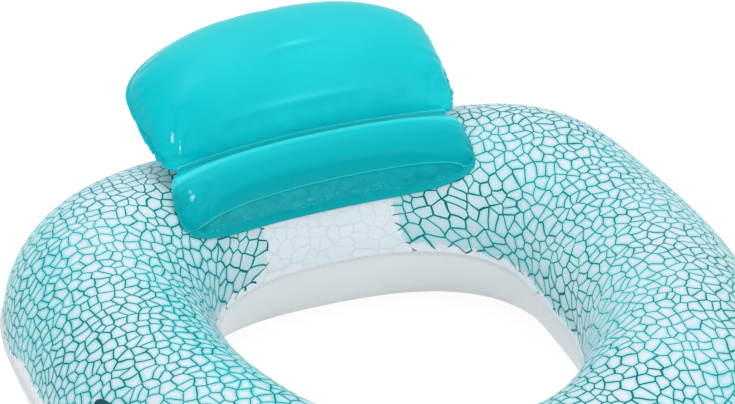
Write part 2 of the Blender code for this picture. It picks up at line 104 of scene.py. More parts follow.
class Slot(Enum):
    """Material slots of the record."""

    PRINTED = "printed_vinyl"
    WHITE = "white_vinyl"
    TEAL = "teal_vinyl"
    DARK_TEAL = "dark_teal_vinyl"
    CLEAR = "clear_vinyl"


# Node graphs


@dataclass
class Graph:
    """Short calls for wiring a node tree, with the coordinates that its textures read."""

    tree: Tree
    vector: Optional[Socket] = None

    def node(self, kind: str, **values: object) -> Node:
        """Adds a node and sets its options and sockets.

        Args:
            kind: Node type name without its ShaderNode prefix.
            values: Options by attribute name, or sockets by name with spaces as
                underscores. A value that is an output socket is linked.

        Returns:
            The new node.
        """
        made = self.tree.nodes.new("ShaderNode" + kind)
        for key, value in values.items():
            if key in made.bl_rna.properties:
                setattr(made, key, value)
        for key, value in values.items():
            if key not in made.bl_rna.properties:
                self.put(made.inputs[key.replace("_", " ")], value)
        return made

    def put(self, socket: Socket, value: object) -> None:
        """Links an output to a socket, or writes a plain value in it.

        Args:
            socket: The input socket.
            value: An output socket or a value.
        """
        if isinstance(value, Socket):
            self.tree.links.new(value, socket)
        else:
            socket.default_value = value

    def maths(self, operation: str, *values: object) -> Socket:
        """Adds a Math node.

        Args:
            operation: Name of the operation.
            values: One to three numbers or sockets.

        Returns:
            Its output socket.
        """
        made = self.node("Math", operation=operation)
        for socket, value in zip(made.inputs, values):
            self.put(socket, value)
        return made.outputs[0]

    def times(self, first: object, second: object) -> Socket:
        """Multiplies two numbers or sockets."""
        return self.maths("MULTIPLY", first, second)

    def field(self, name: str) -> Socket:
        """Reads a number that the mesh holds at each vertex, by its name."""
        return self.node("Attribute", attribute_name=name).outputs["Fac"]

    def fade(self, value: object, low: float, high: float) -> Socket:
        """Smooth step from 0 at low to 1 at high.

        Args:
            value: The number or socket that is read.
            low: Where the result leaves 0.
            high: Where it reaches 1.

        Returns:
            The output socket.
        """
        made = self.node("MapRange", interpolation_type="SMOOTHSTEP")
        self.put(made.inputs["Value"], value)
        if low > high:
            low, high = high, low
            self.put(made.inputs["To Min"], 1.0)
            self.put(made.inputs["To Max"], 0.0)
        self.put(made.inputs["From Min"], low)
        self.put(made.inputs["From Max"], high)
        return made.outputs["Result"]

    def mix(self, factor: object, first: object, second: object) -> Socket:
        """Mixes two colours.

        Args:
            factor: Share of the second colour.
            first: Colour or socket at factor 0.
            second: Colour or socket at factor 1.

        Returns:
            The mixed colour's socket.
        """
        made = self.node("Mix", data_type="RGBA")
        self.put(made.inputs[0], factor)
        for index, value in ((6, first), (7, second)):
            if isinstance(value, tuple):
                value = (*value[:3], 1.0)
            self.put(made.inputs[index], value)
        return made.outputs[2]

    def noise(self, cells: float, detail: float) -> Socket:
        """Adds a noise texture with so many cells a metre and octaves."""
        return self.node("TexNoise", Vector=self.vector, Scale=cells, Detail=detail).outputs[0]


def new_group(name: str, inputs: Sequence[Tuple[str, str]],
              outputs: Sequence[Tuple[str, str]]) -> Tuple[Tree, Graph, Node, Node]:
    """Makes an empty shader node group.

    Args:
        name: Name of the group.
        inputs: Socket names and kinds, such as ("Depth", "Float").
        outputs: The same for what it gives.

    Returns:
        The group, a graph on it, its input node and its output node.
    """
    group = bpy.data.node_groups.new(name, "ShaderNodeTree")
    for label, kind in inputs:
        group.interface.new_socket(label, in_out="INPUT", socket_type="NodeSocket" + kind)
    for label, kind in outputs:
        group.interface.new_socket(label, in_out="OUTPUT", socket_type="NodeSocket" + kind)
    entry = group.nodes.new("NodeGroupInput")
    leave = group.nodes.new("NodeGroupOutput")
    return group, Graph(group, entry.outputs[0]), entry, leave


# Cells per metre of what covers all of the vinyl.
WAVE_CELLS = 22.0
PEEL_CELLS = 900.0
SMUDGE_CELLS = 9.0
GRAIN_CELLS = 160.0
DIMPLE_CELLS = 700.0
DRIFT_CELLS = 7.0


def vinyl_surface_group() -> Tree:
    """Surface of thin soft vinyl: slack waves, a fine peel and dull smudges.

    Returns:
        A group from coordinates, wave depth and peel depth to height and smudge.
    """
    group, graph, entry, leave = new_group(
        "soft_vinyl_surface",
        (("Vector", "Vector"), ("Wave Depth", "Float"), ("Peel Depth", "Float")),
        (("Height", "Float"), ("Smudge", "Float")))
    wave = graph.times(graph.noise(WAVE_CELLS, 2.0), entry.outputs["Wave Depth"])
    peel = graph.times(graph.noise(PEEL_CELLS, 1.0), entry.outputs["Peel Depth"])
    graph.put(leave.inputs["Height"], graph.maths("ADD", wave, peel))
    broad = graph.fade(graph.noise(SMUDGE_CELLS, 4.0), 0.42, 0.68)
    grain = graph.noise(GRAIN_CELLS, 3.0)
    graph.put(leave.inputs["Smudge"], graph.times(broad, grain))
    return group


def weld_group() -> Tree:
    """Pressed dimples of a heat-welded seam, where the weld mask is on.

    Returns:
        A group from coordinates, weld mask and depth to height.
    """
    group, graph, entry, leave = new_group(
        "pressed_weld",
        (("Vector", "Vector"), ("Weld", "Float"), ("Depth", "Float")),
        (("Height", "Float"),))
    cells = graph.node("TexVoronoi", feature="F1", Vector=graph.vector, Scale=DIMPLE_CELLS)
    dimple = graph.fade(cells.outputs["Distance"], 0.15, 0.5)
    shown = graph.times(dimple, entry.outputs["Weld"])
    graph.put(leave.inputs["Height"], graph.times(shown, entry.outputs["Depth"]))
    return group


@dataclass(frozen=True)
class WaterNet:
    """Irregular net of many-sided cells, as light makes on rippled water.

    A line runs where two cells meet, a tint spreads from it, and each cell has a shade
    of its own. Lines reach a little past the print's edge and the tint stops before it.
    Line widths and the tint's reach are shares of a cell, line edges are shares of the
    line's width, and the other lengths are metres.
    """

    bend_cells: float = 22.0
    bend: float = 0.018
    randomness: float = 0.75
    broad_cells: float = 6.0
    thin_line: float = 0.026
    line_gain: float = 0.058
    line_edge: Pair = (1.25, 0.75)
    faint_edge: Pair = (1.7, 0.6)
    tint_reach: Pair = (0.05, 0.40)
    strong_where: Pair = (0.35, 0.65)
    ragged_cells: float = 70.0
    ragged: float = 0.014
    line_stop: Pair = (0.004, 0.0048)
    tint_stop: Pair = (0.006, 0.014)

    def build(self) -> Tree:
        """Builds the group.

        Returns:
            A group from plan coordinates, distance inside the print's edge and cell size
            to line mask, tint mask, cell shade, line strength, and the faint lines and the
            mask of what isn't printed.
        """
        group, graph, entry, leave = new_group(
            "water_net",
            (("Plan", "Vector"), ("Inside", "Float"), ("Cells Per Metre", "Float")),
            (("Line", "Float"), ("Tint", "Float"), ("Shade", "Float"), ("Strength", "Float"),
             ("Bare Line", "Float"), ("Bare", "Float")))
        net = {"voronoi_dimensions": "2D", "Vector": self.bent(graph),
               "Randomness": self.randomness, "Scale": entry.outputs["Cells Per Metre"]}
        across = graph.node("TexVoronoi", feature="DISTANCE_TO_EDGE", **net).outputs["Distance"]
        cells = graph.node("TexVoronoi", feature="F1", **net)
        broad = self.flat_noise(graph, self.broad_cells, 2.0).outputs[0]
        near = graph.maths("DIVIDE", across,
                           graph.maths("MULTIPLY_ADD", broad, self.line_gain, self.thin_line))
        ragged = self.flat_noise(graph, self.ragged_cells, 0.0).outputs[0]
        reach = graph.maths("MULTIPLY_ADD", ragged, self.ragged, entry.outputs["Inside"])
        line_area = graph.fade(reach, *self.line_stop)
        tint_area = graph.fade(reach, *self.tint_stop)
        bare = graph.maths("SUBTRACT", 1.0, line_area)
        spread = graph.maths("SUBTRACT", 1.0, graph.fade(across, *self.tint_reach))
        shade = graph.node("SeparateColor", Color=cells.outputs["Color"]).outputs[0]
        given = {"Line": graph.times(graph.fade(near, *self.line_edge), line_area),
                 "Bare Line": graph.times(graph.fade(near, *self.faint_edge), bare),
                 "Bare": graph.maths("SUBTRACT", 1.0, tint_area),
                 "Tint": graph.times(spread, tint_area),
                 "Shade": shade,
                 "Strength": graph.fade(broad, *self.strong_where)}
        for label, value in given.items():
            graph.put(leave.inputs[label], value)
        return group

    @staticmethod
    def flat_noise(graph: Graph, cells: float, detail: float) -> Node:
        """Adds a noise texture over the plan."""
        return graph.node("TexNoise", noise_dimensions="2D", Vector=graph.vector, Scale=cells,
                          Detail=detail)

    def bent(self, graph: Graph) -> Socket:
        """Moves the plan about a little, so that the lines bend.

        Args:
            graph: Graph of the group.

        Returns:
            The moved coordinates.
        """
        noise = self.flat_noise(graph, self.bend_cells, 1.0)
        centred = graph.node("VectorMath", operation="SUBTRACT")
        graph.put(centred.inputs[0], noise.outputs["Color"])
        graph.put(centred.inputs[1], (0.5, 0.5, 0.5))
        moved = graph.node("VectorMath", operation="MULTIPLY_ADD")
        graph.put(moved.inputs[0], centred.outputs[0])
        graph.put(moved.inputs[1], (self.bend, self.bend, 0.0))
        graph.put(moved.inputs[2], graph.vector)
        return moved.outputs[0]


GROUPS: Dict[str, Tree] = {}


def group(name: str) -> Tree:
    """Returns a shared node group, made on its first use.

    Args:
        name: One of surface, weld and net.

    Returns:
        The group.
    """
    makers = {"surface": vinyl_surface_group, "weld": weld_group, "net": WaterNet().build}
    if name not in GROUPS:
        GROUPS[name] = makers[name]()
    return GROUPS[name]


# Finishes


def new_material(name: str) -> Tuple[Material, Graph, Node]:
    """Makes a material with its Principled shader.

    Args:
        name: Name of the material.

    Returns:
        The material, a graph on its tree and the shader.
    """
    material = bpy.data.materials.new(name)
    material.use_nodes = True
    graph = Graph(material.node_tree)
    graph.vector = graph.node("TexCoord").outputs["Object"]
    return material, graph, material.node_tree.nodes["Principled BSDF"]


@dataclass(frozen=True)
class VinylFinish:
    """Soft vinyl: its colour, gloss and how far its surface waves."""

    name: str
    colour: Colour
    deep_colour: Colour
    weld_colour: Colour
    roughness: float = 0.22
    smudge: float = 0.16
    wave: float = 0.0016
    peel: float = 0.00003
    specular: float = 0.07
    press: float = 0.0002
    refraction: float = 1.5

    def build(self) -> Material:
        """Builds the material.

        Returns:
            The finished material.
        """
        material, graph, shader = new_material(self.name)
        self.dress(graph, shader)
        graph.put(shader.inputs["Base Color"], self.tone(graph))
        return material

    def tone(self, graph: Graph) -> Socket:
        """Colour that drifts a little over the sheet and pales at the welds.

        Args:
            graph: Graph of the material.

        Returns:
            The colour's socket.
        """
        return graph.mix(graph.field("weld"), self.drifting(graph), self.weld_colour)

    def drifting(self, graph: Graph) -> Socket:
        """Colour that drifts between the plain and the deep one."""
        drift = graph.fade(graph.noise(DRIFT_CELLS, 3.0), 0.3, 0.7)
        return graph.mix(drift, self.colour, self.deep_colour)

    def dress(self, graph: Graph, shader: Node) -> None:
        """Sets the gloss, the surface and what is the same all over.

        Args:
            graph: Graph of the material.
            shader: Its Principled shader.
        """
        surface = graph.node("Group", node_tree=group("surface"), Vector=graph.vector,
                             Wave_Depth=self.wave, Peel_Depth=self.peel)
        pressed = graph.node("Group", node_tree=group("weld"), Vector=graph.vector,
                             Weld=graph.field("weld"), Depth=self.press)
        height = graph.maths("ADD", surface.outputs["Height"], pressed.outputs["Height"])
        bump = graph.node("Bump", Height=height, Strength=1.0, Distance=1.0)
        graph.put(shader.inputs["Normal"], bump.outputs["Normal"])
        rough = graph.maths("MULTIPLY_ADD", surface.outputs["Smudge"], self.smudge,
                            self.roughness)
        graph.put(shader.inputs["Roughness"], rough)
        shader.inputs["IOR"].default_value = self.refraction
        shader.inputs["Specular IOR Level"].default_value = self.specular


@dataclass(frozen=True)
class PrintedFinish(VinylFinish):
    """White vinyl with the printed water net, and painted light and shade in the net's tint."""

    line: Colour = (0.004, 0.150, 0.165)
    faint_line: Colour = (0.006, 0.225, 0.250)
    tint: Colour = (0.21, 0.74, 0.79)
    # Painted light and shade in the tint: paler on the crest, paler or deeper in listed places, deeper on the
    # flanks.
    painted_crest_highlight: Colour = (0.38, 0.80, 0.845)
    painted_light_tint: Colour = (0.54, 0.93, 0.94)
    painted_shade_tint: Colour = (0.13, 0.74, 0.79)
    painted_flank_shade: float = 0.22
    bare: Colour = (0.90, 0.94, 0.98)
    bare_line: Colour = (0.66, 0.70, 0.82)
    bare_line_share: float = 0.36
    cells_per_metre: float = 56.0

    def tone(self, graph: Graph) -> Socket:
        """White cells, a watery tint beside the lines, and the lines. The tint is painted paler on the
        tube's crest as a highlight and deeper on its flanks as shade, and paler or deeper in listed
        places as painted light and shade.

        Args:
            graph: Graph of the material.

        Returns:
            The colour's socket.
        """
        plan = graph.node("UVMap", uv_map="print_plan").outputs["UV"]
        net = graph.node("Group", node_tree=group("net"), Plan=plan,
                         Inside=graph.field("print_inside"),
                         Cells_Per_Metre=self.cells_per_metre)
        crest = graph.field("crest")
        pale = graph.field("pale")
        # Painted shade on the flanks: none on the crest, less where light is painted and more where shade is.
        flank_shade = graph.maths("MULTIPLY_ADD", crest, -self.painted_flank_shade, self.painted_flank_shade)
        flank_shade = graph.times(flank_shade, graph.maths("SUBTRACT", 1.0, pale))
        lit_and_shaded_tint = graph.mix(crest, self.tint, self.painted_crest_highlight)
        # Painted light where the mask is over nothing, painted shade where it is under.
        lit_and_shaded_tint = graph.mix(pale, lit_and_shaded_tint, self.painted_light_tint)
        lit_and_shaded_tint = graph.mix(graph.times(pale, -1.0), lit_and_shaded_tint, self.painted_shade_tint)
        cell = graph.mix(net.outputs["Shade"], self.colour, self.deep_colour)
        cell = graph.mix(flank_shade, cell, lit_and_shaded_tint)
        cell = graph.mix(net.outputs["Bare"], cell, self.bare)
        faint = graph.times(net.outputs["Bare Line"], self.bare_line_share)
        cell = graph.mix(faint, cell, self.bare_line)
        tinted = graph.mix(net.outputs["Tint"], cell, lit_and_shaded_tint)
        ink = graph.mix(net.outputs["Strength"], self.faint_line, self.line)
        drawn = graph.mix(net.outputs["Line"], tinted, ink)
        return graph.mix(graph.field("weld"), drawn, self.weld_colour)


@dataclass(frozen=True)
class CushionFinish(VinylFinish):
    """Tinted vinyl of the backrest, with its pressed lines, the skirt over the hem, and painted
    sheen, shade, highlights and glints.

    Its masks come from each vertex's distance past the crease, past the roll's inner weld
    and past the hem's flange. A pair of distances is where a mask fades in or out.
    """

    # Painted shade down the roll, a painted sheen over the top and painted shade at the near end.
    roll_shade_colour: Colour = (0.0, 0.47, 0.525)
    skirt_colour: Colour = (0.0, 0.50, 0.555)
    top_sheen_colour: Colour = (0.030, 0.610, 0.665)
    end_shade_colour: Colour = (0.0, 0.55, 0.615)
    line_colour: Colour = (0.06, 0.86, 0.92)
    shade_colour: Colour = (0.0, 0.38, 0.42)
    # Colour of the painted glints near the corners.
    glint_colour: Colour = (0.32, 0.88, 0.91)
    bubble_colour: Colour = (0.05, 0.74, 0.80)
    lit_colour: Colour = (0.10, 0.90, 0.95)
    top_sheen_fade: Pair = (0.04, 0.22)
    roll_reach: float = 0.055
    line_half_width: float = 0.0005
    band_half_width: float = 0.0055
    band_share: float = 0.85
    skirt_edge: Pair = (-0.0005, 0.0015)
    flange_edge: Pair = (-0.004, 0.006)
    mottle_cells: float = 75.0
    mottle_share: float = 0.7
    lit_top: Pair = (-0.009, -0.014)
    lit_foot: Pair = (-0.030, -0.018)
    lit_share: float = 0.55
    fold_highlight_share: float = 0.45
    fleck_cells: float = 260.0
    fleck: float = 0.80
    bubble_cells: float = 240.0
    bubble_row: float = 0.002
    bubble_row_half_width: float = 0.0030
    patch_cells: float = 42.0
    bubble_share: float = 0.6

    def stripe(self, graph: Graph, away: object, half_width: float) -> Socket:
        """Mask of a line where a distance is close to nothing."""
        return graph.fade(graph.maths("ABSOLUTE", away), 1.5 * half_width, 0.5 * half_width)

    def tone(self, graph: Graph) -> Socket:
        """Drifting tint with painted sheen, shade, highlights and glints, a deeper skirt with
        stipple, and the pressed lines.

        Args:
            graph: Graph of the material.

        Returns:
            The colour's socket.
        """
        crease = graph.field("past_crease")
        colour = self.chambers(graph, self.drifting(graph), crease)
        colour = self.skirt(graph, colour)
        colour = self.crease_band(graph, colour, crease)
        colour = self.painted_highlights(graph, colour)
        over = graph.maths("SUBTRACT", crease, 1.15 * self.band_half_width)
        return graph.mix(self.stripe(graph, over, self.line_half_width), colour,
                         self.line_colour)

    def chambers(self, graph: Graph, colour: Socket, crease: Socket) -> Socket:
        """Paints a sheen over the top, and shade at the near end and down the roll.

        Args:
            graph: Graph of the material.
            colour: The colour so far.
            crease: Distance past the crease.

        Returns:
            The colour's socket.
        """
        colour = graph.mix(graph.fade(crease, *self.top_sheen_fade), colour, self.top_sheen_colour)
        colour = graph.mix(graph.field("near_end_shade"), colour, self.end_shade_colour)
        # Painted shade: the roll's tint deepens down from the crease.
        down = graph.fade(crease, -2 * self.band_half_width, -self.roll_reach)
        return graph.mix(down, colour, self.roll_shade_colour)

    def skirt(self, graph: Graph, colour: Socket) -> Socket:
        """Draws the mottled skirt, the weld over it and the row of bubbles.

        Args:
            graph: Graph of the material.
            colour: The colour so far.

        Returns:
            The colour's socket.
        """
        inner = graph.field("past_inner_weld")
        flange = graph.field("past_flange")
        on_skirt = graph.times(graph.fade(inner, *self.skirt_edge),
                               graph.fade(flange, *self.flange_edge))
        colour = graph.mix(on_skirt, colour, self.skirt_colour)
        cloudy = graph.fade(graph.noise(self.mottle_cells, 3.0), 0.46, 0.66)
        mottle = graph.times(graph.times(cloudy, on_skirt), self.mottle_share)
        colour = graph.mix(mottle, colour, self.shade_colour)
        under = graph.maths("SUBTRACT", inner, 3 * self.line_half_width)
        shadow = self.stripe(graph, under, 1.5 * self.line_half_width)
        colour = graph.mix(shadow, colour, self.shade_colour)
        line = self.stripe(graph, inner, self.line_half_width)
        colour = graph.mix(line, colour, self.weld_colour)
        return graph.mix(self.bubbles(graph, flange), colour, self.bubble_colour)

    def crease_band(self, graph: Graph, colour: Socket, crease: Socket) -> Socket:
        """Shades the crease and lights the roll's edge under it.

        Args:
            graph: Graph of the material.
            colour: The colour so far.
            crease: Distance past the crease.

        Returns:
            The colour's socket.
        """
        middle = graph.maths("SUBTRACT", crease, 0.25 * self.band_half_width)
        band = self.stripe(graph, middle, 0.62 * self.band_half_width)
        colour = graph.mix(graph.times(band, self.band_share), colour, self.shade_colour)
        lit = graph.times(graph.fade(crease, *self.lit_top), graph.fade(crease, *self.lit_foot))
        return graph.mix(graph.times(lit, self.lit_share), colour, self.lit_colour)

    def painted_highlights(self, graph: Graph, colour: Socket) -> Socket:
        """Paints soft highlights along folds, and glints near the corners broken into bright flecks.

        Args:
            graph: Graph of the material.
            colour: The colour so far.

        Returns:
            The colour's socket.
        """
        fold_highlight = graph.times(graph.field("fold_highlight"), self.fold_highlight_share)
        colour = graph.mix(fold_highlight, colour, self.lit_colour)
        fleck = graph.maths("MULTIPLY_ADD", graph.noise(self.fleck_cells, 2.0), self.fleck,
                            -self.fleck / 2)
        shown = graph.fade(graph.maths("ADD", graph.field("painted_glint"), fleck), 0.25, 0.85)
        return graph.mix(shown, colour, self.glint_colour)

    def bubbles(self, graph: Graph, flange: Socket) -> Socket:
        """Mask of the small trapped bubbles in a broken row over the hem's flange.

        Args:
            graph: Graph of the material.
            flange: Distance past the flange.

        Returns:
            The mask's socket.
        """
        cells = graph.node("TexVoronoi", feature="F1", Vector=graph.vector,
                           Scale=self.bubble_cells)
        dot = graph.fade(cells.outputs["Distance"], 0.42, 0.28)
        row = self.stripe(graph, graph.maths("SUBTRACT", flange, self.bubble_row),
                          self.bubble_row_half_width)
        patchy = graph.fade(graph.noise(self.patch_cells, 1.0), 0.44, 0.56)
        return graph.times(graph.times(graph.times(dot, patchy), row), self.bubble_share)


PRINTED = PrintedFinish("printed_net_vinyl", (0.81, 0.79, 0.86), (0.73, 0.81, 0.86),
                        (0.82, 0.86, 0.90), roughness=0.30)
WHITE = VinylFinish("plain_white_vinyl", (0.97, 0.98, 0.99), (0.95, 0.97, 0.98),
                    (0.92, 0.94, 0.95), roughness=0.32)
TEAL = CushionFinish("tinted_teal_vinyl", (0.008, 0.66, 0.72), (0.004, 0.60, 0.66),
                     (0.02, 0.72, 0.78), roughness=0.24)
DARK_TEAL = VinylFinish("thick_dark_teal_vinyl", (0.012, 0.10, 0.12), (0.008, 0.08, 0.10),
                        (0.02, 0.14, 0.16), roughness=0.30, wave=0.0004)
CLEAR = VinylFinish("milky_clear_vinyl", (0.72, 0.82, 0.84), (0.66, 0.78, 0.81),
                    (0.78, 0.86, 0.88), roughness=0.18, wave=0.0002)


# Meshes


def grid_faces(rows: int, columns: int, closed: bool = False) -> Array:
    """Four-sided faces of a grid: each joins a vertex with its right and upper neighbours.

    Args:
        rows: Vertices up.
        columns: Vertices across.
        closed: Whether the last column joins the first.

    Returns:
        Vertex indices, one face a row, turning left seen from outside.
    """
    across = columns if closed else columns - 1
    row, column = np.meshgrid(np.arange(rows - 1), np.arange(across), indexing="ij")
    right = (column + 1) % columns
    low = row * columns
    high = low + columns
    faces = np.stack([low + column, low + right, high + right, high + column], -1)
    return faces.reshape(-1, 4)


def new_piece(name: str, points: Array, faces: Array, material: Material,
              plan: Optional[Array] = None,
              fields: Optional[Dict[str, Array]] = None) -> Piece:
    """Makes a smooth object from arrays.

    Args:
        name: Name of the piece.
        points: Vertex places, one a row.
        faces: Vertex indices, one face a row.
        material: Its material.
        plan: Flat coordinates of each vertex for the print, if it has one.
        fields: Further numbers of each vertex by name.

    Returns:
        The linked object.
    """
    mesh = bpy.data.meshes.new(name)
    mesh.from_pydata(points.reshape(-1, 3), [], faces)
    mesh.update()
    if plan is not None:
        layer = mesh.uv_layers.new(name="print_plan")
        corners = np.empty(len(mesh.loops), np.int32)
        mesh.loops.foreach_get("vertex_index", corners)
        layer.data.foreach_set("uv", plan.reshape(-1, 2)[corners].astype(np.float32).ravel())
    for label, values in (fields or {}).items():
        attribute = mesh.attributes.new(label, "FLOAT", "POINT")
        attribute.data.foreach_set("value", values.astype(np.float32).ravel())
    mesh.shade_smooth()
    mesh.materials.append(material)
    piece = bpy.data.objects.new(name, mesh)
    bpy.context.scene.collection.objects.link(piece)
    return piece


def places(mesh: bpy.types.Mesh) -> Array:
    """Vertex places of a mesh.

    Args:
        mesh: The mesh.

    Returns:
        The places, one a row.
    """
    points = np.empty(3 * len(mesh.vertices), np.float32)
    mesh.vertices.foreach_get("co", points)
    return points.reshape(-1, 3).astype(float)


def set_places(mesh: bpy.types.Mesh, points: Array) -> None:
    """Moves the vertices of a mesh to new places, one a row."""
    mesh.vertices.foreach_set("co", points.astype(np.float32).ravel())
    mesh.update()


def joint(name: str) -> Dict[str, object]:
    """Looks up what the frame says of a joint."""
    return next(entry for entry in frame["joints"] if entry["name"] == name)


def thicken(piece: Piece, thickness: float) -> None:
    """Gives an open skin its wall, on the side away from its normals.

    Args:
        piece: The skin.
        thickness: Wall thickness.
    """
    wall = piece.modifiers.new("Wall", "SOLIDIFY")
    wall.thickness = thickness
    wall.offset = -1.0


def place(piece: Piece, body: Body, slot: Slot, *nodes: str) -> None:
    """Puts a piece on its body, in the place of solids.

    Args:
        piece: The piece.
        body: What it moves with.
        slot: The record's slot of its finish; not used.
        nodes: The solids that it stands for.
    """
    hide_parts(*nodes)
    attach(piece, body.value)
    LOG.info("%s rides on %s", piece.name, body.value)


def ripple(along: Array, turns: Sequence[int], seed: int) -> Array:
    """Irregular waves: a sum of sines, each with a phase drawn from the seed.

    Args:
        along: Share of the way round or along, from 0 to 1.
        turns: Number of waves of each sine.
        seed: Seed of the phases.

    Returns:
        Wave height between about -1 and 1.
    """
    draw = np.random.default_rng(seed)
    phases = draw.uniform(0.0, 2 * np.pi, len(turns))
    total = sum(np.sin(2 * np.pi * turn * along + phase) for turn, phase in zip(turns, phases))
    return total / math.sqrt(len(turns))


def smooth(value: Array, low: float, high: float) -> Array:
    """Smooth step from 0 at low to 1 at high."""
    share = np.clip((value - low) / (high - low), 0.0, 1.0)
    return share * share * (3 - 2 * share)


# Ring


@dataclass(frozen=True)
class Swell:
    """A broad place on the ring where a height or a tint rises, or sinks, in a bell curve.

    Its place and its spreads are degrees, round the ring and round the tube.
    """

    bearing: float
    section: float
    spread: float
    section_spread: float
    height: float

    def lift(self, bearing: Array, section: Array) -> Array:
        """Its height: h exp(-(b/s)^2/2 - (c/t)^2/2) at angles b and c from its middle.

        Args:
            bearing: Angles from +X.
            section: Angles round the tube.

        Returns:
            The height at each point.
        """
        off = np.angle(np.exp(1j * (bearing - math.radians(self.bearing))))
        turn = np.angle(np.exp(1j * (section - math.radians(self.section))))
        power = (off / math.radians(self.spread)) ** 2 + (turn / math.radians(
            self.section_spread)) ** 2
        return self.height * np.exp(-power / 2)


# Where the ring stands out, or in, of its even form, in metres.
SWELLS = (
    Swell(15.0, 62.0, 8.5, 32.0, -0.0085),
    Swell(137.0, 72.0, 8.0, 28.0, -0.0040),
    Swell(160.0, 15.0, 7.0, 30.0, 0.0035),
    Swell(186.0, 0.0, 9.0, 26.0, -0.0080),
    Swell(321.0, 190.0, 15.0, 26.0, -0.0170),
    Swell(303.0, 120.0, 11.0, 22.0, 0.0080),
    Swell(223.0, 115.0, 14.0, 26.0, 0.0060),
)

# Where the print's tint is painted paler as painted light, or with less than nothing painted deeper as
# painted shade, as a share.
PAINTED_LIGHT_AND_SHADE = (
    Swell(44.0, 152.0, 15.0, 22.0, 0.85),
    Swell(340.0, 152.0, 26.0, 20.0, 0.75),
    Swell(133.0, 158.0, 9.0, 22.0, 0.9),
    Swell(141.0, 97.0, 6.0, 14.0, 1.0),
    Swell(166.0, 54.0, 13.0, 14.0, -0.9),
    Swell(216.0, 108.0, 18.0, 13.0, -1.2),
    Swell(188.0, 120.0, 15.0, 12.0, -0.8),
    Swell(12.0, 72.0, 14.0, 18.0, -0.6),
)


@dataclass(frozen=True)
class RingShape:
    """Sizes of the ring, the same as the solids', about the middle of the seat hole."""

    half_width: float = 0.525
    rear_reach: float = 0.426
    front_reach: float = 0.575
    rear_power: float = 2.95
    front_power: float = 2.5
    hole_half_width: float = 0.240
    hole_rear_reach: float = 0.173
    hole_front_reach: float = 0.341
    hole_rear_power: float = 2.3
    hole_front_power: float = 2.5
    drop: float = 0.140
    ground_half_angle: float = math.radians(15.0)
    seam_width: float = 0.005
    sheet: float = 0.0003

    @property
    def seam_height(self) -> float:
        """Height of the seams over the ground."""
        return self.drop * math.cos(self.ground_half_angle)

    @staticmethod
    def radius(bearing: Array, half_width: float, reaches: Pair, powers: Pair) -> Array:
        """Radius of an egg-shaped superellipse: |x/a|^p + |y/b|^p = 1 at a bearing.

        Args:
            bearing: Angles from +X.
            half_width: a.
            reaches: b to the rear and to the front.
            powers: p to the rear and to the front.

        Returns:
            The radius at each bearing.
        """
        across = np.abs(np.cos(bearing)) / half_width
        along = np.sin(bearing)
        reach = np.where(along >= 0, reaches[0], reaches[1])
        power = np.where(along >= 0, powers[0], powers[1])
        return (across ** power + (np.abs(along) / reach) ** power) ** (-1 / power)

    def tube(self, bearing: Array) -> Tuple[Array, Array]:
        """Centre radius and half width of the tube.

        Args:
            bearing: Angles from +X.

        Returns:
            The two lengths at each bearing.
        """
        outer = self.radius(bearing, self.half_width, (self.rear_reach, self.front_reach),
                            (self.rear_power, self.front_power))
        inner = self.radius(bearing, self.hole_half_width,
                            (self.hole_rear_reach, self.hole_front_reach),
                            (self.hole_rear_power, self.hole_front_power))
        return (outer + inner) / 2, (outer - inner) / 2

    def skin(self, bearing: Array, section: Array, lift: Array = 0.0) -> Array:
        """Points on the skin: a circle over the seams, a flattened oval under them.

        Args:
            bearing: Angles from +X.
            section: Angles round the tube: 0 on the outer seam, a right angle on the crest.
            lift: Distance off the skin.

        Returns:
            The points.
        """
        centre, half = self.tube(bearing)
        height = np.where(np.sin(section) >= 0, half, self.drop)
        radius = centre + (half + lift) * np.cos(section)
        level = self.seam_height + (height + lift) * np.sin(section)
        level = np.where(section > np.pi + 1e-6, np.maximum(level, lift), level)
        return np.stack([radius * np.cos(bearing), radius * np.sin(bearing), level], -1)

    def place(self, points: Array) -> Tuple[Array, Array, Array]:
        """Where points lie over the ring: the inverse of skin, over the seams.

        Args:
            points: Points about the middle of the hole.

        Returns:
            Their bearing, section and lift.
        """
        bearing = np.arctan2(points[..., 1], points[..., 0])
        centre, half = self.tube(bearing)
        out = np.hypot(points[..., 0], points[..., 1]) - centre
        up = points[..., 2] - self.seam_height
        return bearing, np.arctan2(up, out), np.hypot(out, up) - half


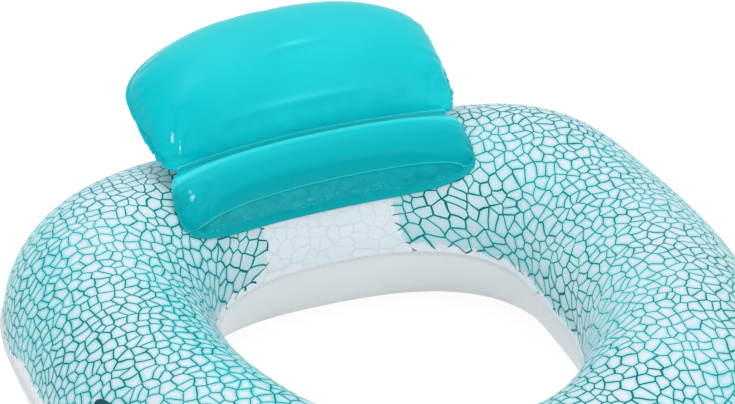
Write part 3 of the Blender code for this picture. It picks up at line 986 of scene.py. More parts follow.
@dataclass
class Ring:
    """The ring: a printed upper skin, a plain lower skin and their welded edges."""

    shape: RingShape
    shift: float
    columns: int = 600
    upper_rows: int = 54
    lower_rows: int = 34
    outer_pucker: float = 0.0009
    inner_pucker: float = 0.0005
    pucker_reach: float = 0.011
    print_stop: float = 0.006
    outer_stop: float = 0.027
    outer_stop_behind: float = 0.004
    arm_bearings: Pair = (math.radians(12.0), math.radians(3.0))
    # The tint is painted paler round this crest as a highlight, and deeper away from it as shade.
    crest_section: float = math.radians(88.0)
    crest_spread: float = math.radians(24.0)
    bare_left: float = -0.118
    bare_right: float = 0.090
    bare_front: float = 0.05
    bare_section: float = math.radians(112.0)
    bare_widening: float = 0.030
    bare_widens: Pair = (math.radians(168.0), math.radians(180.0))

    def build(self) -> None:
        """Builds the printed skin over the seams and the plain one, which it rests on."""
        off_plane = 1.5 * self.shape.sheet
        upper = np.linspace(0, np.pi, self.upper_rows)
        piece = self.skin_piece("ring_printed_skin", upper, off_plane, PRINTED.build())
        place(piece, Body.RING, Slot.PRINTED, "ring_top_sheet")
        lower = np.linspace(np.pi, 2 * np.pi, self.lower_rows)
        piece = self.skin_piece("ring_plain_skin", lower, -off_plane, WHITE.build())
        place(piece, Body.RING, Slot.WHITE, "ring_bottom_sheet")

    def puckers(self, bearing: Array, section: Array) -> Array:
        """Small gathers beside the seams: waves round the ring that fade across the tube.

        Args:
            bearing: Angles from +X.
            section: Angles round the tube.

        Returns:
            How far the skin stands out.
        """
        _, half = self.shape.tube(bearing)
        share = bearing / (2 * np.pi)
        outer = ripple(share, (97, 131, 163, 71), 3) * self.outer_pucker
        inner = ripple(share, (53, 67, 89, 41), 5) * self.inner_pucker
        from_outer = half * 2 * np.arcsin(np.clip(np.abs(np.sin(section / 2)), 0, 1))
        from_inner = np.maximum(half * np.pi - from_outer, 0.0)
        total = 0.0
        for wave, away in ((outer, from_outer), (inner, from_inner)):
            rise = away / self.pucker_reach
            total = total + wave * rise * np.exp(1 - rise)
        return total

    def plan(self, bearing: Array, section: Array) -> Array:
        """Flat coordinates of the sheet before it was blown up.

        The distance round the tube from its crest is laid off outwards from the crest.

        Args:
            bearing: Angles from +X.
            section: Angles round the tube.

        Returns:
            Two coordinates for each point.
        """
        centre, half = self.shape.tube(bearing)
        radius = centre + half * (np.pi / 2 - section)
        return np.stack([radius * np.cos(bearing), radius * np.sin(bearing)], -1)

    def print_inside(self, bearing: Array, section: Array, points: Array) -> Array:
        """Distance inside the printed area, less than 0 on what is bare.

        The print stops short of the inner seam and, on the arms and the front, of the
        outer one. It leaves a place bare at the rear, under the backrest.

        Args:
            bearing: Angles from +X.
            section: Angles round the tube.
            points: The points themselves.

        Returns:
            The distances.
        """
        _, half = self.shape.tube(bearing)
        from_seam = half * (np.pi - section) - self.print_stop
        behind, beside = self.arm_bearings
        ahead = smooth(-np.sin(bearing), -math.sin(behind), -math.sin(beside))
        stop = self.outer_stop_behind + (self.outer_stop - self.outer_stop_behind) * ahead
        from_outer = half * section - stop
        widen = self.bare_widening * smooth(section, *self.bare_widens)
        aside = np.maximum(points[..., 0] - self.bare_right - widen,
                           self.bare_left - widen - points[..., 0])
        above = half * (self.bare_section - section)
        before = self.bare_front - points[..., 1]
        clear = np.maximum(np.maximum(aside, above), before)
        return np.minimum(np.minimum(from_seam, from_outer), clear)

    def with_edges(self, rows: Array) -> Array:
        """Adds a welded edge beside the first and the last row of a skin.

        Args:
            rows: Points of the skin, row by row.

        Returns:
            The points with one more row at each end.
        """
        flat = rows[[0, -1]].copy()
        flat[..., 2] = 0.0
        out = flat / np.linalg.norm(flat, axis=-1, keepdims=True)
        if np.linalg.norm(flat[0, 0]) < np.linalg.norm(flat[1, 0]):
            out = -out
        first = rows[0] + out[0] * self.shape.seam_width
        last = rows[-1] - out[1] * self.shape.seam_width
        return np.concatenate([first[None], rows, last[None]])

    def skin_piece(self, name: str, sections: Array, side: float, material: Material) -> Piece:
        """Builds one skin of the ring.

        Args:
            name: Name of the piece.
            sections: Angles round the tube, row by row.
            side: How far its welded edges stand over the seam's plane.
            material: Its material.

        Returns:
            The piece.
        """
        turn = np.linspace(0, 2 * np.pi, self.columns, endpoint=False)
        section, bearing = np.meshgrid(sections, turn, indexing="ij")
        lift = self.puckers(bearing, section)
        lift = lift + sum(swell.lift(bearing, section) for swell in SWELLS)
        points = self.shape.skin(bearing, section, lift)
        points[..., 2] += side
        inside = self.print_inside(bearing, section, points)
        points = self.with_edges(points)
        fields = {"plan": self.plan(bearing, section), "print_inside": inside}
        # Masks of the painted highlight on the crest and of the painted light and shade in listed places.
        fields["crest"] = np.exp(-((section - self.crest_section) / self.crest_spread) ** 2 / 2)
        fields["pale"] = sum(swell.lift(bearing, section) for swell in PAINTED_LIGHT_AND_SHADE)
        fields = {label: np.concatenate([values[:1], values, values[-1:]])
                  for label, values in fields.items()}
        fields["weld"] = np.zeros(points.shape[:2])
        fields["weld"][[0, -1]] = 1.0
        points[..., 1] += self.shift
        faces = grid_faces(points.shape[0], self.columns, closed=True)
        piece = new_piece(name, points, faces, material, fields.pop("plan"), fields)
        thicken(piece, self.shape.sheet)
        return piece


# Backrest


@dataclass(frozen=True)
class Chamber:
    """One chamber of the cushion laid out flat, from the crease to its free end."""

    start: float
    end: float
    start_half: float
    wide_half: float
    widest: float
    foot_power: float
    end_power: float
    outline_steps: int = 60

    def half_width(self, along: Array) -> Array:
        """Half width along the chamber.

        With s the share of the way back from the widest place to the crease it is
        start + (wide - start) (1 - s^n)^(1/n), and with s the share of the way on to the
        end it is wide (1 - s^n)^(1/n).

        Args:
            along: Distance along the cushion.

        Returns:
            The half width, 0 past the end.
        """
        share = (along - self.start) / (self.end - self.start)
        foot = np.clip((self.widest - share) / self.widest, 0, 1)
        head = np.clip((share - self.widest) / (1 - self.widest), 0, 1)
        under = self.start_half + (self.wide_half - self.start_half) * (
            1 - foot ** self.foot_power) ** (1 / self.foot_power)
        over = self.wide_half * (1 - head ** self.end_power) ** (1 / self.end_power)
        return np.where(share > self.widest, over, under)

    def shares(self, across: Array, along: Array) -> Tuple[Array, Array]:
        """Where points are in the chamber.

        Args:
            across: Across of each point.
            along: Along of each point.

        Returns:
            u from -1 at the crease to 1 at the end, and v from -1 to 1 across.
        """
        u = np.clip(2 * (along - self.start) / (self.end - self.start) - 1, -1, 1)
        half = np.maximum(self.half_width(along), 1e-6)
        return u, np.clip(across / half, -1, 1)

    def at(self, u: float, v: float) -> Array:
        """Across and along of the point at u along the chamber and v across it."""
        far = self.start + (u + 1) / 2 * (self.end - self.start)
        return np.array([v * float(self.half_width(np.array(far))), far])

    def outline(self) -> Tuple[Array, Array]:
        """Right half of the outline: up the side to the corner, and on to the middle.

        Returns:
            The side stretch and the end stretch, each as across and along.
        """
        length = self.end - self.start
        rise = self.start + length * np.linspace(0, self.widest, self.outline_steps)
        side = np.stack([self.half_width(rise), rise], -1)
        corner = 3 * self.outline_steps
        angle = np.linspace(0, np.pi / 2, 2 * corner)
        power = 2 / self.end_power
        arc = np.stack([self.wide_half * np.cos(angle) ** power,
                        self.start + length * (self.widest + (1 - self.widest)
                                               * np.sin(angle) ** power)], -1)
        return np.concatenate([side, arc[1:corner + 1]]), arc[corner:]

    @staticmethod
    def spaced(line: Array, shares: Array) -> Array:
        """Points at shares of a line's length.

        Args:
            line: Points of the line.
            shares: Shares of its length.

        Returns:
            The points.
        """
        steps = np.linalg.norm(np.diff(line, axis=0), axis=1)
        run = np.concatenate([[0.0], np.cumsum(steps)])
        run /= run[-1]
        return np.stack([np.interp(shares, run, line[:, k]) for k in range(2)], -1)

    def patch(self, rows: int, columns: int) -> Tuple[Array, Array]:
        """Grid over the chamber that fits its outline: a patch between its four edges.

        Rows and columns lie closer together towards the edges, as a sine spaces them.

        Args:
            rows: Rows from the crease to the end.
            columns: Columns across.

        Returns:
            Across and along of each grid point.
        """
        side, end = self.outline()
        s = (np.sin(np.pi / 2 * np.linspace(-1, 1, columns)) + 1) / 2
        t = (np.sin(np.pi / 2 * np.linspace(-1, 1, rows)) + 1) / 2
        right = self.spaced(side, t)
        left = right * (-1, 1)
        over = self.spaced(np.concatenate([end * (-1, 1), end[::-1][1:]]), s)
        under = np.stack([(2 * s - 1) * right[0, 0], np.full(columns, right[0, 1])], -1)
        s, t = s[None, :, None], t[:, None, None]
        grid = ((1 - t) * under[None] + t * over[None]
                + (1 - s) * left[:, None] + s * right[:, None]
                - (1 - s) * (1 - t) * under[0] - s * (1 - t) * under[-1]
                - (1 - s) * t * over[0] - s * t * over[-1])
        return grid[..., 0], grid[..., 1]


@dataclass(frozen=True)
class Fold:
    """A shallow line that the skin is drawn in, given by its ends in a chamber.

    Each end is u and v, shares along and across. Past its ridge is a valley, which is
    `valley` times as deep and lies `valley_off` widths away.
    """

    on_roll: bool
    start: Pair
    end: Pair
    height: float
    width: float
    taper: float = 0.7
    valley: float = 0.6
    valley_off: float = 1.6


FOLDS = (
    Fold(False, (-0.70, -0.60), (-0.69, 0.56), 0.0028, 0.0062),
    Fold(False, (0.02, -0.20), (0.13, 0.30), 0.0028, 0.0065),
    Fold(False, (-0.86, -0.93), (-0.52, -0.80), 0.0028, 0.0050),
    Fold(False, (-0.70, -0.97), (-0.30, -0.86), 0.0022, 0.0050),
    Fold(False, (-0.88, 0.95), (-0.60, 0.84), 0.0022, 0.0050),
    Fold(True, (0.10, -0.97), (0.02, -0.84), 0.0022, 0.0045),
    Fold(True, (0.34, -0.96), (0.22, -0.86), 0.0018, 0.0040),
    Fold(True, (-0.10, 0.97), (-0.05, 0.85), 0.0022, 0.0045),
    Fold(True, (0.30, 0.97), (0.20, 0.86), 0.0018, 0.0045),
)


@dataclass(frozen=True)
class Oval:
    """A small soft spot in a chamber: its middle in shares u and v, its half sizes in metres."""

    on_roll: bool
    u: float
    v: float
    half_width: float
    half_height: float


# Where glints are painted near the corners, and where a highlight is painted along a fold.
GLINT_SPOTS = (
    Oval(False, -0.62, -0.905, 0.0030, 0.0075),
    Oval(False, -0.80, -0.885, 0.0012, 0.0110),
    Oval(True, 0.02, -0.925, 0.0034, 0.0050),
    Oval(True, -0.20, -0.93, 0.0014, 0.0050),
    Oval(True, -0.78, -0.80, 0.0022, 0.0020),
    Oval(True, -0.74, -0.62, 0.0020, 0.0018),
    Oval(False, -0.42, 0.955, 0.0016, 0.0100),
    Oval(True, 0.35, 0.955, 0.0022, 0.0030),
)

FOLD_HIGHLIGHTS = (
    Oval(False, -0.665, -0.02, 0.0750, 0.0022),
    Oval(False, 0.08, 0.05, 0.0300, 0.0030),
)


@dataclass(frozen=True)
class Inflation:
    """Cloth simulation that draws the wrinkles of a blown-up, welded sheet.

    The sheet has a little too much cloth for its form, so it buckles beside its welds.
    Only the small wrinkles are kept: the move less its own broad part, and capped.
    """

    grown: float = 0.016
    pressure: float = 3.0
    frames: int = 20
    quality: int = 6
    mass: float = 0.15
    stretch_stiffness: float = 20.0
    shear_stiffness: float = 8.0
    bending_stiffness: float = 0.02
    cap: float = 0.0032
    reach: int = 9

    def run(self, piece: Piece, pinned: Array, kept: Array,
            grids: Sequence[Array]) -> None:
        """Blows the piece up and writes the wrinkles in its mesh.

        Args:
            piece: The piece, a closed skin.
            pinned: How far each vertex is held, from 0 to 1.
            kept: Share of the wrinkle that each vertex keeps.
            grids: Vertex indices of each grid of the skin, rows by columns.
        """
        before = places(piece.data)
        held = piece.vertex_groups.new(name="held")
        for weight in np.unique(pinned[pinned > 0]):
            held.add(np.nonzero(pinned == weight)[0].tolist(), float(weight), "REPLACE")
        moved = self.simulate(piece) - before
        piece.vertex_groups.remove(held)
        wrinkles = np.zeros_like(moved)
        for grid in grids:
            field = moved[grid]
            wrinkles[grid] = field - self.broad(field)
        wrinkles *= ((1 - pinned) * kept)[:, None]
        size = np.linalg.norm(wrinkles, axis=1, keepdims=True)
        wrinkles *= np.minimum(1.0, self.cap / np.maximum(size, 1e-9))
        LOG.info("wrinkles of %s: mean %.5f, largest %.5f", piece.name, size.mean(), size.max())
        set_places(piece.data, before + wrinkles)

    def simulate(self, piece: Piece) -> Array:
        """Steps the simulation.

        Args:
            piece: The piece with its vertex group "held".

        Returns:
            Where each vertex ends.
        """
        scene = bpy.context.scene
        cloth = piece.modifiers.new("Cloth", "CLOTH")
        cloth.settings.quality = self.quality
        cloth.settings.mass = self.mass
        cloth.settings.tension_stiffness = self.stretch_stiffness
        cloth.settings.compression_stiffness = self.stretch_stiffness
        cloth.settings.shear_stiffness = self.shear_stiffness
        cloth.settings.bending_stiffness = self.bending_stiffness
        cloth.settings.shrink_min = -self.grown
        cloth.settings.vertex_group_mass = "held"
        cloth.settings.use_pressure = True
        cloth.settings.uniform_pressure_force = self.pressure
        cloth.settings.effector_weights.gravity = 0.0
        cloth.collision_settings.use_collision = False
        cloth.point_cache.frame_start = 1
        cloth.point_cache.frame_end = self.frames
        for frame_number in range(1, self.frames + 1):
            scene.frame_set(frame_number)
        graph = bpy.context.evaluated_depsgraph_get()
        after = places(piece.evaluated_get(graph).data)
        piece.modifiers.remove(cloth)
        scene.frame_set(1)
        return after

    def broad(self, field: Array) -> Array:
        """Broad part of a field on a grid: its mean over a square window.

        Args:
            field: Rows by columns of vectors.

        Returns:
            The means.
        """
        span = 2 * self.reach + 1
        for _ in range(2):
            pad = ((self.reach + 1, self.reach), (0, 0), (0, 0))
            total = np.cumsum(np.pad(field, pad, mode="edge"), axis=0)
            field = ((total[span:] - total[:-span]) / span).swapaxes(0, 1)
        return field


@dataclass(frozen=True)
class Edges:
    """Sizes of the cushion's puckered edges. A pair of places along is where a fade runs.

    `other_end` shifts the waves, so that one end isn't the other's mirror image.
    """

    pucker: float = 0.0011
    other_end: float = 0.21
    pucker_side: Pair = (0.92, 1.0)
    pucker_foot: Pair = (0.012, 0.030)
    pucker_top: Pair = (0.16, 0.22)
    scallop: float = 0.22
    scallop_foot: Pair = (0.02, 0.04)
    scallop_top: Pair = (0.20, 0.28)
    tuck: float = 0.0025
    tuck_foot: Pair = (0.02, 0.06)


@dataclass(frozen=True)
class Gathers:
    """Sizes of the gathers that run in from the welds, which calm down near the crease."""

    onset: float = 3.0
    other_side: float = 0.13
    other_edge: float = 0.31
    side_height: float = 0.0026
    side_reach: float = 0.018
    end_height: float = 0.0010
    end_reach: float = 0.012
    half_chamber: float = 0.09
    calm_top: Pair = (0.30, 0.33)
    crease_calm: float = 0.8
    under_crease: Pair = (-0.03, -0.02)
    least: float = 0.25


@dataclass(frozen=True)
class Kept:
    """How much of the simulated wrinkles is kept, and where the cloth is held."""

    held_beside_crease: Pair = (0.006, 0.010)
    held_at_hem: float = 0.008
    least: float = 0.12
    near_welds: Pair = (0.66, 0.94)
    top: Pair = (0.22, 0.30)
    top_loss: float = 0.75
    crease_loss: float = 0.9
    under_crease: Pair = (-0.040, -0.025)
    at_sides: Pair = (0.86, 0.95)


@dataclass
class Cushion:
    """The backrest: a roll on the ring, a welded crease and an upper chamber.

    It is laid out flat first, across by along from the hem, with the heights of its
    crowns, and then set on a bent plane that follows the crease.
    """

    ring: RingShape
    shift: float
    columns: int = 141
    roll_rows: int = 56
    crease_rows: int = 7
    upper_rows: int = 76
    hem_reach: float = 0.1686
    hem_height: float = 0.1004
    hem_flange: float = 0.012
    roll_lean: float = 0.5791
    roll_length: float = 0.1224
    roll_crown: float = 0.0502
    roll_back_crown: float = 0.026
    upper_lean: float = 0.4974
    upper_length: float = 0.2212
    upper_crown: float = 0.0695
    upper_back_crown: float = 0.043
    upper_curl: float = 0.1695
    middle: float = -0.0211
    roll_half: float = 0.2382
    roll_widest: float = 0.6024
    roll_foot_power: float = 3.0
    roll_end_power: float = 3.693
    crease_half: float = 0.2173
    upper_half: float = 0.2482
    upper_widest: float = 0.6294
    upper_foot_power: float = 2.535
    upper_end_power: float = 2.769
    bow: Tuple[float, float, float] = (0.5145, 0.9183, 0.5039)
    droop: Tuple[float, float, float] = (-0.0941, -0.264, 0.3456)
    turn: float = 0.0468
    turn_about: float = 0.25
    crease_width: float = 0.012
    crease_bend: float = 0.008
    crease_fall: float = 0.01
    bend_reach: Pair = (-0.034, 0.016)
    weld_width: float = 0.004
    collar_gap: float = 0.0002
    dish: Pair = (0.0185, 0.0600)
    hem_fade: float = 0.045
    half_weld: float = 0.0003
    least_gap: float = 1e-9
    seat: float = 0.0020
    side_power: float = 5.0
    crown_power: float = 2.2
    foot_crown_power: float = 1.9
    foot_crown_root: float = 0.85
    line_level: float = -0.645
    line_bend: float = -0.13
    line_middle: float = 0.08
    skirt_pull: float = 0.10
    skirt_power: float = 0.7
    least_skirt: float = 0.02
    # Where the painted shade at the near end of the upper chamber lies.
    near_end_shade: Pair = (0.45, 0.92)
    near_end_foot: Pair = (0.002, 0.012)
    near_end_top: Pair = (0.26, 0.33)
    near_end_loss: float = 0.6
    edges: Edges = Edges()
    gather: Gathers = Gathers()
    kept: Kept = Kept()

    @property
    def roll_end(self) -> float:
        """Distance of the roll's upper edge from the hem."""
        return self.roll_length - self.crease_width / 2

    @property
    def upper_start(self) -> float:
        """Distance of the upper chamber's lower edge from the hem."""
        return self.roll_length + self.crease_width / 2

    def roll(self, inset: float, flange: float) -> Chamber:
        """The roll's outline, drawn in at the sides by inset and at the hem by flange."""
        return Chamber(self.roll_end, flange, self.crease_half - inset, self.roll_half - inset,
                       self.roll_widest, self.roll_foot_power, self.roll_end_power)

    def upper(self, inset: float) -> Chamber:
        """The upper chamber's outline, drawn in at the sides and the top."""
        return Chamber(self.upper_start, self.roll_length + self.upper_length - inset,
                       self.crease_half - inset, self.upper_half - inset,
                       self.upper_widest, self.upper_foot_power, self.upper_end_power)

    def build(self) -> None:
        """Builds the cushion, with its wrinkles and its valve's dish, and hides the solids it stands for."""
        across, along = self.layout()
        front, back = self.sides(across, along)
        loop = self.perimeter(across.shape)
        rim = self.rim(across, along, loop)
        points, faces, owner = self.assemble(front, back, loop, rim)
        nearest = np.where(owner >= 0, owner, np.tile(loop, 2)[np.maximum(-owner - 1, 0)])
        fields = {label: values.ravel()[nearest]
                  for label, values in self.marks(across, along).items()}
        fields["weld"] = (owner < 0).astype(float)
        points[:, 1] += self.shift
        piece = new_piece("backrest_cushion", points, faces, TEAL.build(), None, fields)
        self.blow_up(piece, across, along)
        self.seat_valve(piece)
        self.hand_over(piece)

    def blow_up(self, piece: Piece, across: Array, along: Array) -> None:
        """Simulates the wrinkles, with the welds, the crease and the hem held.

        Args:
            piece: The cushion.
            across: Across of each point.
            along: Along of each point.
        """
        grid = np.arange(across.size).reshape(across.shape)
        sizes = self.kept
        at_crease = 1 - smooth(np.abs(along - self.roll_length), *sizes.held_beside_crease)
        at_hem = 1 - smooth(along, self.hem_flange, self.hem_flange + sizes.held_at_hem)
        pinned = np.round(np.maximum(at_crease, at_hem), 1)
        u, v = self.shares(across, along)
        share = sizes.least + (1 - sizes.least) * smooth(
            np.maximum(np.abs(u), np.abs(v)), *sizes.near_welds)
        share = share * (1 - sizes.top_loss * smooth(along, *sizes.top))
        share = share * (1 - sizes.crease_loss * self.by_crease(along, sizes.under_crease)
                         * (1 - smooth(np.abs(v), *sizes.at_sides)))
        rim = np.ones(len(piece.data.vertices) - 2 * across.size)
        pinned, kept = (np.concatenate([field.ravel(), field.ravel(), rim])
                        for field in (pinned, share))
        Inflation().run(piece, pinned, kept, (grid, grid + across.size))

    def by_crease(self, along: Array, under: Pair) -> Array:
        """Mask that rises on the roll, at places from the crease, and falls over it."""
        low, high = (self.roll_length + reach for reach in under)
        fall = smooth(along, self.roll_length, self.roll_length + self.crease_fall)
        return smooth(along, low, high) * (1 - fall)

    def seat_valve(self, piece: Piece) -> None:
        """Draws the back sheet down to the valve's collar, as a shallow round dish.

        Along the valve's axis a point at a height over the collar's underside drops by
        that height, whole under the collar and fading to nothing at the dish's edge.

        Args:
            piece: The cushion.
        """
        out = -np.array(joint("backrest_stem_push")["axis"])
        collar = places(bpy.data.objects["backrest_valve_collar"].data)
        middle = collar.mean(axis=0)
        under = ((collar - middle) @ out).min()
        points = places(piece.data)
        over = (points - middle) @ out
        away = np.linalg.norm(points - middle - over[:, None] * out, axis=1)
        drop = np.maximum(over - under + self.collar_gap, 0.0)
        drop *= 1 - smooth(away, *self.dish)
        set_places(piece.data, points - drop[:, None] * out)
        LOG.info("%s is drawn down by %.4f at its valve", piece.name, drop.max())

    def shares(self, across: Array, along: Array) -> Tuple[Array, Array]:
        """Where points are in the chamber that they belong to.

        Args:
            across: Across of each point.
            along: Along of each point.

        Returns:
            u along it and v across it, each from -1 to 1.
        """
        low_u, low_v = self.roll(self.weld_width, self.hem_flange).shares(across, along)
        high_u, high_v = self.upper(self.weld_width).shares(across, along)
        on_roll = along < self.roll_length
        return np.where(on_roll, low_u, high_u), np.where(on_roll, low_v, high_v)

    def hand_over(self, piece: Piece) -> None:
        """Hides the cushion's solids and bakes its place into its mesh.

        Args:
            piece: The cushion.
        """
        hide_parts("backrest_lower_front_sheet", "backrest_lower_back_sheet",
                    "backrest_upper_front_sheet", "backrest_upper_back_sheet")
        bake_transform(piece)
        LOG.info("%s bends from %s to %s", piece.name, Body.RING.value, Body.BACKREST.value)

    def layout(self) -> Tuple[Array, Array]:
        """Lays the grid out flat: the roll from its hem, the crease, the upper chamber.

        Returns:
            Across and along of each grid point.
        """
        inset = self.weld_width
        roll_across, roll_along = self.roll(inset, 0.0).patch(self.roll_rows, self.columns)
        up_across, up_along = self.upper(inset).patch(self.upper_rows, self.columns)
        share = np.sin(np.pi / 2 * np.linspace(-1, 1, self.columns))
        along = np.linspace(self.roll_end, self.upper_start, self.crease_rows + 2)[1:-1]
        across = np.full((self.crease_rows, 1), self.crease_half - inset) * share[None]
        return (np.concatenate([roll_across[::-1], across, up_across]),
                np.concatenate([roll_along[::-1], np.repeat(along[:, None], self.columns, 1),
                                up_along]))

    def puff(self, u: Array, v: Array, soft_foot: bool = False) -> Array:
        """Crown of an air chamber: sqrt(1 - |u|^p) sqrt(1 - |v|^q).

        Args:
            u: Share along.
            v: Share across.
            soft_foot: Whether it rises gently from the crease, as (1 - |u|^n)^r.

        Returns:
            Height as a share of the greatest.
        """
        rise = np.sqrt(np.clip(1 - np.abs(u) ** self.crown_power, 0, 1))
        if soft_foot:
            gentle = np.clip(1 - np.abs(u) ** self.foot_crown_power, 0, 1)
            rise = np.where(u < 0, gentle ** self.foot_crown_root, rise)
        return rise * np.sqrt(np.clip(1 - np.abs(v) ** self.side_power, 0, 1))

    def heights(self, across: Array, along: Array) -> Tuple[Array, Array]:
        """Heights of the crowns in front of and behind the middle plane, with folds.

        Args:
            across: Across of each point.
            along: Along of each point.

        Returns:
            The front and the back heights.
        """
        roll = self.roll(self.weld_width, self.hem_flange)
        upper = self.upper(self.weld_width)
        low_u, low_v = roll.shares(across, along)
        high_u, high_v = upper.shares(across, along)
        on_roll = along < self.roll_end + self.least_gap
        on_upper = along > self.upper_start - self.least_gap
        puffed = on_roll & (along > self.hem_flange)
        low = np.where(puffed, self.puff(low_u, low_v), 0.0)
        high = np.where(on_upper, self.puff(high_u, high_v, soft_foot=True), 0.0)
        low_front = np.where(puffed, self.flattened(self.roll_crown * low, -low_u, low_v), 0.0)
        front = low_front + self.upper_crown * high
        back = self.roll_back_crown * low + self.upper_back_crown * high
        near = np.clip(self.gather.onset * (low + high), 0, 1)
        gather = self.gathers(across, along) * near
        for fold in FOLDS:
            chamber = roll if fold.on_roll else upper
            where = on_roll if fold.on_roll else on_upper
            front = front + self.folded(fold, chamber, across, along) * near * where
        return front + gather, back + gather

    @staticmethod
    def folded(fold: Fold, chamber: Chamber, across: Array, along: Array) -> Array:
        """Height of a fold: a narrow ridge beside a narrow valley, fading at its ends.

        Args:
            fold: The fold.
            chamber: The chamber that it is on.
            across: Across of each point.
            along: Along of each point.

        Returns:
            The heights.
        """
        start, end = chamber.at(*fold.start), chamber.at(*fold.end)
        line = end - start
        length = np.linalg.norm(line)
        line /= length
        run = (across - start[0]) * line[0] + (along - start[1]) * line[1]
        off = (across - start[0]) * -line[1] + (along - start[1]) * line[0]
        share = np.clip(run / length, 0, 1)
        near = np.where((run > 0) & (run < length), np.sin(np.pi * share) ** fold.taper, 0.0)
        reach = off / fold.width
        valley = fold.valley * np.exp(-(reach + fold.valley_off) ** 2)
        return fold.height * near * (np.exp(-reach ** 2) - valley)

    def skirt_line(self, v: Array) -> Array:
        """u of the roll's inner weld, which runs as an arc across it."""
        return self.line_level + self.line_bend * (v - self.line_middle) ** 2

    def flattened(self, front: Array, u: Array, v: Array) -> Array:
        """Draws the skirt under the inner weld towards a plane.

        Args:
            front: Front heights of the roll.
            u: Share along, from -1 at the hem to 1 at the crease.
            v: Share across.

        Returns:
            The heights.
        """
        line = self.skirt_line(v)
        at_line = self.roll_crown * self.puff(line, v)
        share = np.clip((u + 1) / np.maximum(line + 1, self.least_skirt), 0, 1)
        mixed = ((1 - self.skirt_pull) * front
                 + self.skirt_pull * at_line * share ** self.skirt_power)
        return np.where(u < line, mixed, front)

    def gathers(self, across: Array, along: Array) -> Array:
        """Gathers that run in from the welded edges and fade within a few centimetres.

        Args:
            across: Across of each point.
            along: Along of each point.

        Returns:
            Heights of the gathers.
        """
        sizes = self.gather
        u, v = self.shares(across, along)
        from_side = (1 - np.abs(v)) * self.upper_half
        from_end = (1 - np.abs(u)) * sizes.half_chamber
        up = along / (self.roll_length + self.upper_length)
        out = (across / self.upper_half + 1) / 2
        sides = ripple(up + sizes.other_side * np.sign(across), (17, 23, 31, 13), 11)
        ends = ripple(out + sizes.other_edge * np.sign(u), (19, 29, 37, 11), 17)
        calm = (1 - smooth(along, *sizes.calm_top)
                - sizes.crease_calm * self.by_crease(along, sizes.under_crease))
        return (sizes.side_height * sides * np.exp(-from_side / sizes.side_reach)
                + sizes.end_height * ends * np.maximum(calm, sizes.least)
                * np.exp(-from_end / sizes.end_reach))

    def marks(self, across: Array, along: Array) -> Dict[str, Array]:
        """What the finish reads at each point: distances from the welds, and masks.

        Args:
            across: Across of each point.
            along: Along of each point.

        Returns:
            By name, how far each point is past the roll's inner weld towards the hem, past
            the crease towards the top and past the hem's flange, and three masks: painted glints,
            painted highlights along folds and painted shade at the near end.
        """
        u, v = self.roll(self.weld_width, self.hem_flange).shares(across, along)
        half_length = (self.roll_end - self.hem_flange) / 2
        below = np.where(along > self.roll_end, -half_length,
                         (self.skirt_line(v) + u) * half_length)
        return {"past_inner_weld": below, "past_crease": along - self.roll_length,
                "past_flange": along - self.hem_flange,
                "painted_glint": self.ovals(GLINT_SPOTS, across, along),
                "fold_highlight": self.ovals(FOLD_HIGHLIGHTS, across, along),
                "near_end_shade": self.ends(across, along)}

    def ends(self, across: Array, along: Array) -> Array:
        """Mask of the painted shade: a deeper tint towards the near end of the upper chamber.

        Args:
            across: Across of each point.
            along: Along of each point.

        Returns:
            The mask, from 0 to 1.
        """
        out = smooth(-across / self.upper_half, *self.near_end_shade)
        foot, top = self.near_end_foot
        return out * smooth(along, self.roll_length + foot, self.roll_length + top) * (
            1 - self.near_end_loss * smooth(along, *self.near_end_top))

    def ovals(self, spots: Sequence[Oval], across: Array, along: Array) -> Array:
        """Mask of small ovals, such as the painted glints near the corners.

        Each is exp(-(a/w)^2 - (b/h)^2) at a across and b along from its middle.

        Args:
            spots: The ovals.
            across: Across of each point.
            along: Along of each point.

        Returns:
            The mask.
        """
        mask = np.zeros_like(across)
        for spot in spots:
            chamber = self.roll(0.0, self.hem_flange) if spot.on_roll else self.upper(0.0)
            out, far = chamber.at(spot.u, spot.v)
            mask = np.maximum(mask, np.exp(-((across - out) / spot.half_width) ** 2
                                           - ((along - far) / spot.half_height) ** 2))
        return mask

    def plane(self, across: Array, along: Array) -> Tuple[Array, Array]:
        """Middle plane of the cushion: straight up the roll, then a circular curl.

        Across it bows forward and droops with the square of the distance from the
        middle, by amounts at the hem, the crease and the top, and the whole is turned a
        little about a vertical line.

        Args:
            across: Across of each point.
            along: Along of each point.

        Returns:
            The points and the unit normals to the front.
        """
        beyond = along - self.roll_length
        past = np.maximum(beyond, 0.0)
        curl = self.upper_curl / self.upper_length
        angle_up = self.upper_lean + curl * past
        start = np.array([self.hem_reach, self.hem_height + self.ring.seam_height])
        crease = start + self.roll_length * np.array([math.cos(self.roll_lean),
                                                      math.sin(self.roll_lean)])
        y_up = crease[0] + (np.sin(angle_up) - math.sin(self.upper_lean)) / curl
        z_up = crease[1] - (np.cos(angle_up) - math.cos(self.upper_lean)) / curl
        y_low = start[0] + along * math.cos(self.roll_lean)
        z_low = start[1] + along * math.sin(self.roll_lean)
        y = np.where(beyond > 0, y_up, y_low)
        z = np.where(beyond > 0, z_up, z_low)
        soften = smooth(beyond, -self.crease_bend, self.crease_bend)
        angle = self.roll_lean + (angle_up - self.roll_lean) * soften
        share = np.clip(along / self.roll_length, 0, 1)
        share_up = np.clip(beyond / self.upper_length, 0, 1)
        bow, droop = (hem + (crease_amount - hem) * share + (top - crease_amount) * share_up
                      for hem, crease_amount, top in (self.bow, self.droop))
        x = across + self.middle
        y = y - bow * x ** 2
        z = z - droop * x ** 2
        slope = 2 * bow * x
        tip = np.stack([slope * -np.sin(angle), -np.sin(angle), np.cos(angle)], -1)
        tip /= np.linalg.norm(tip, axis=-1, keepdims=True)
        cos, sin = math.cos(self.turn), math.sin(self.turn)
        back = y - self.turn_about
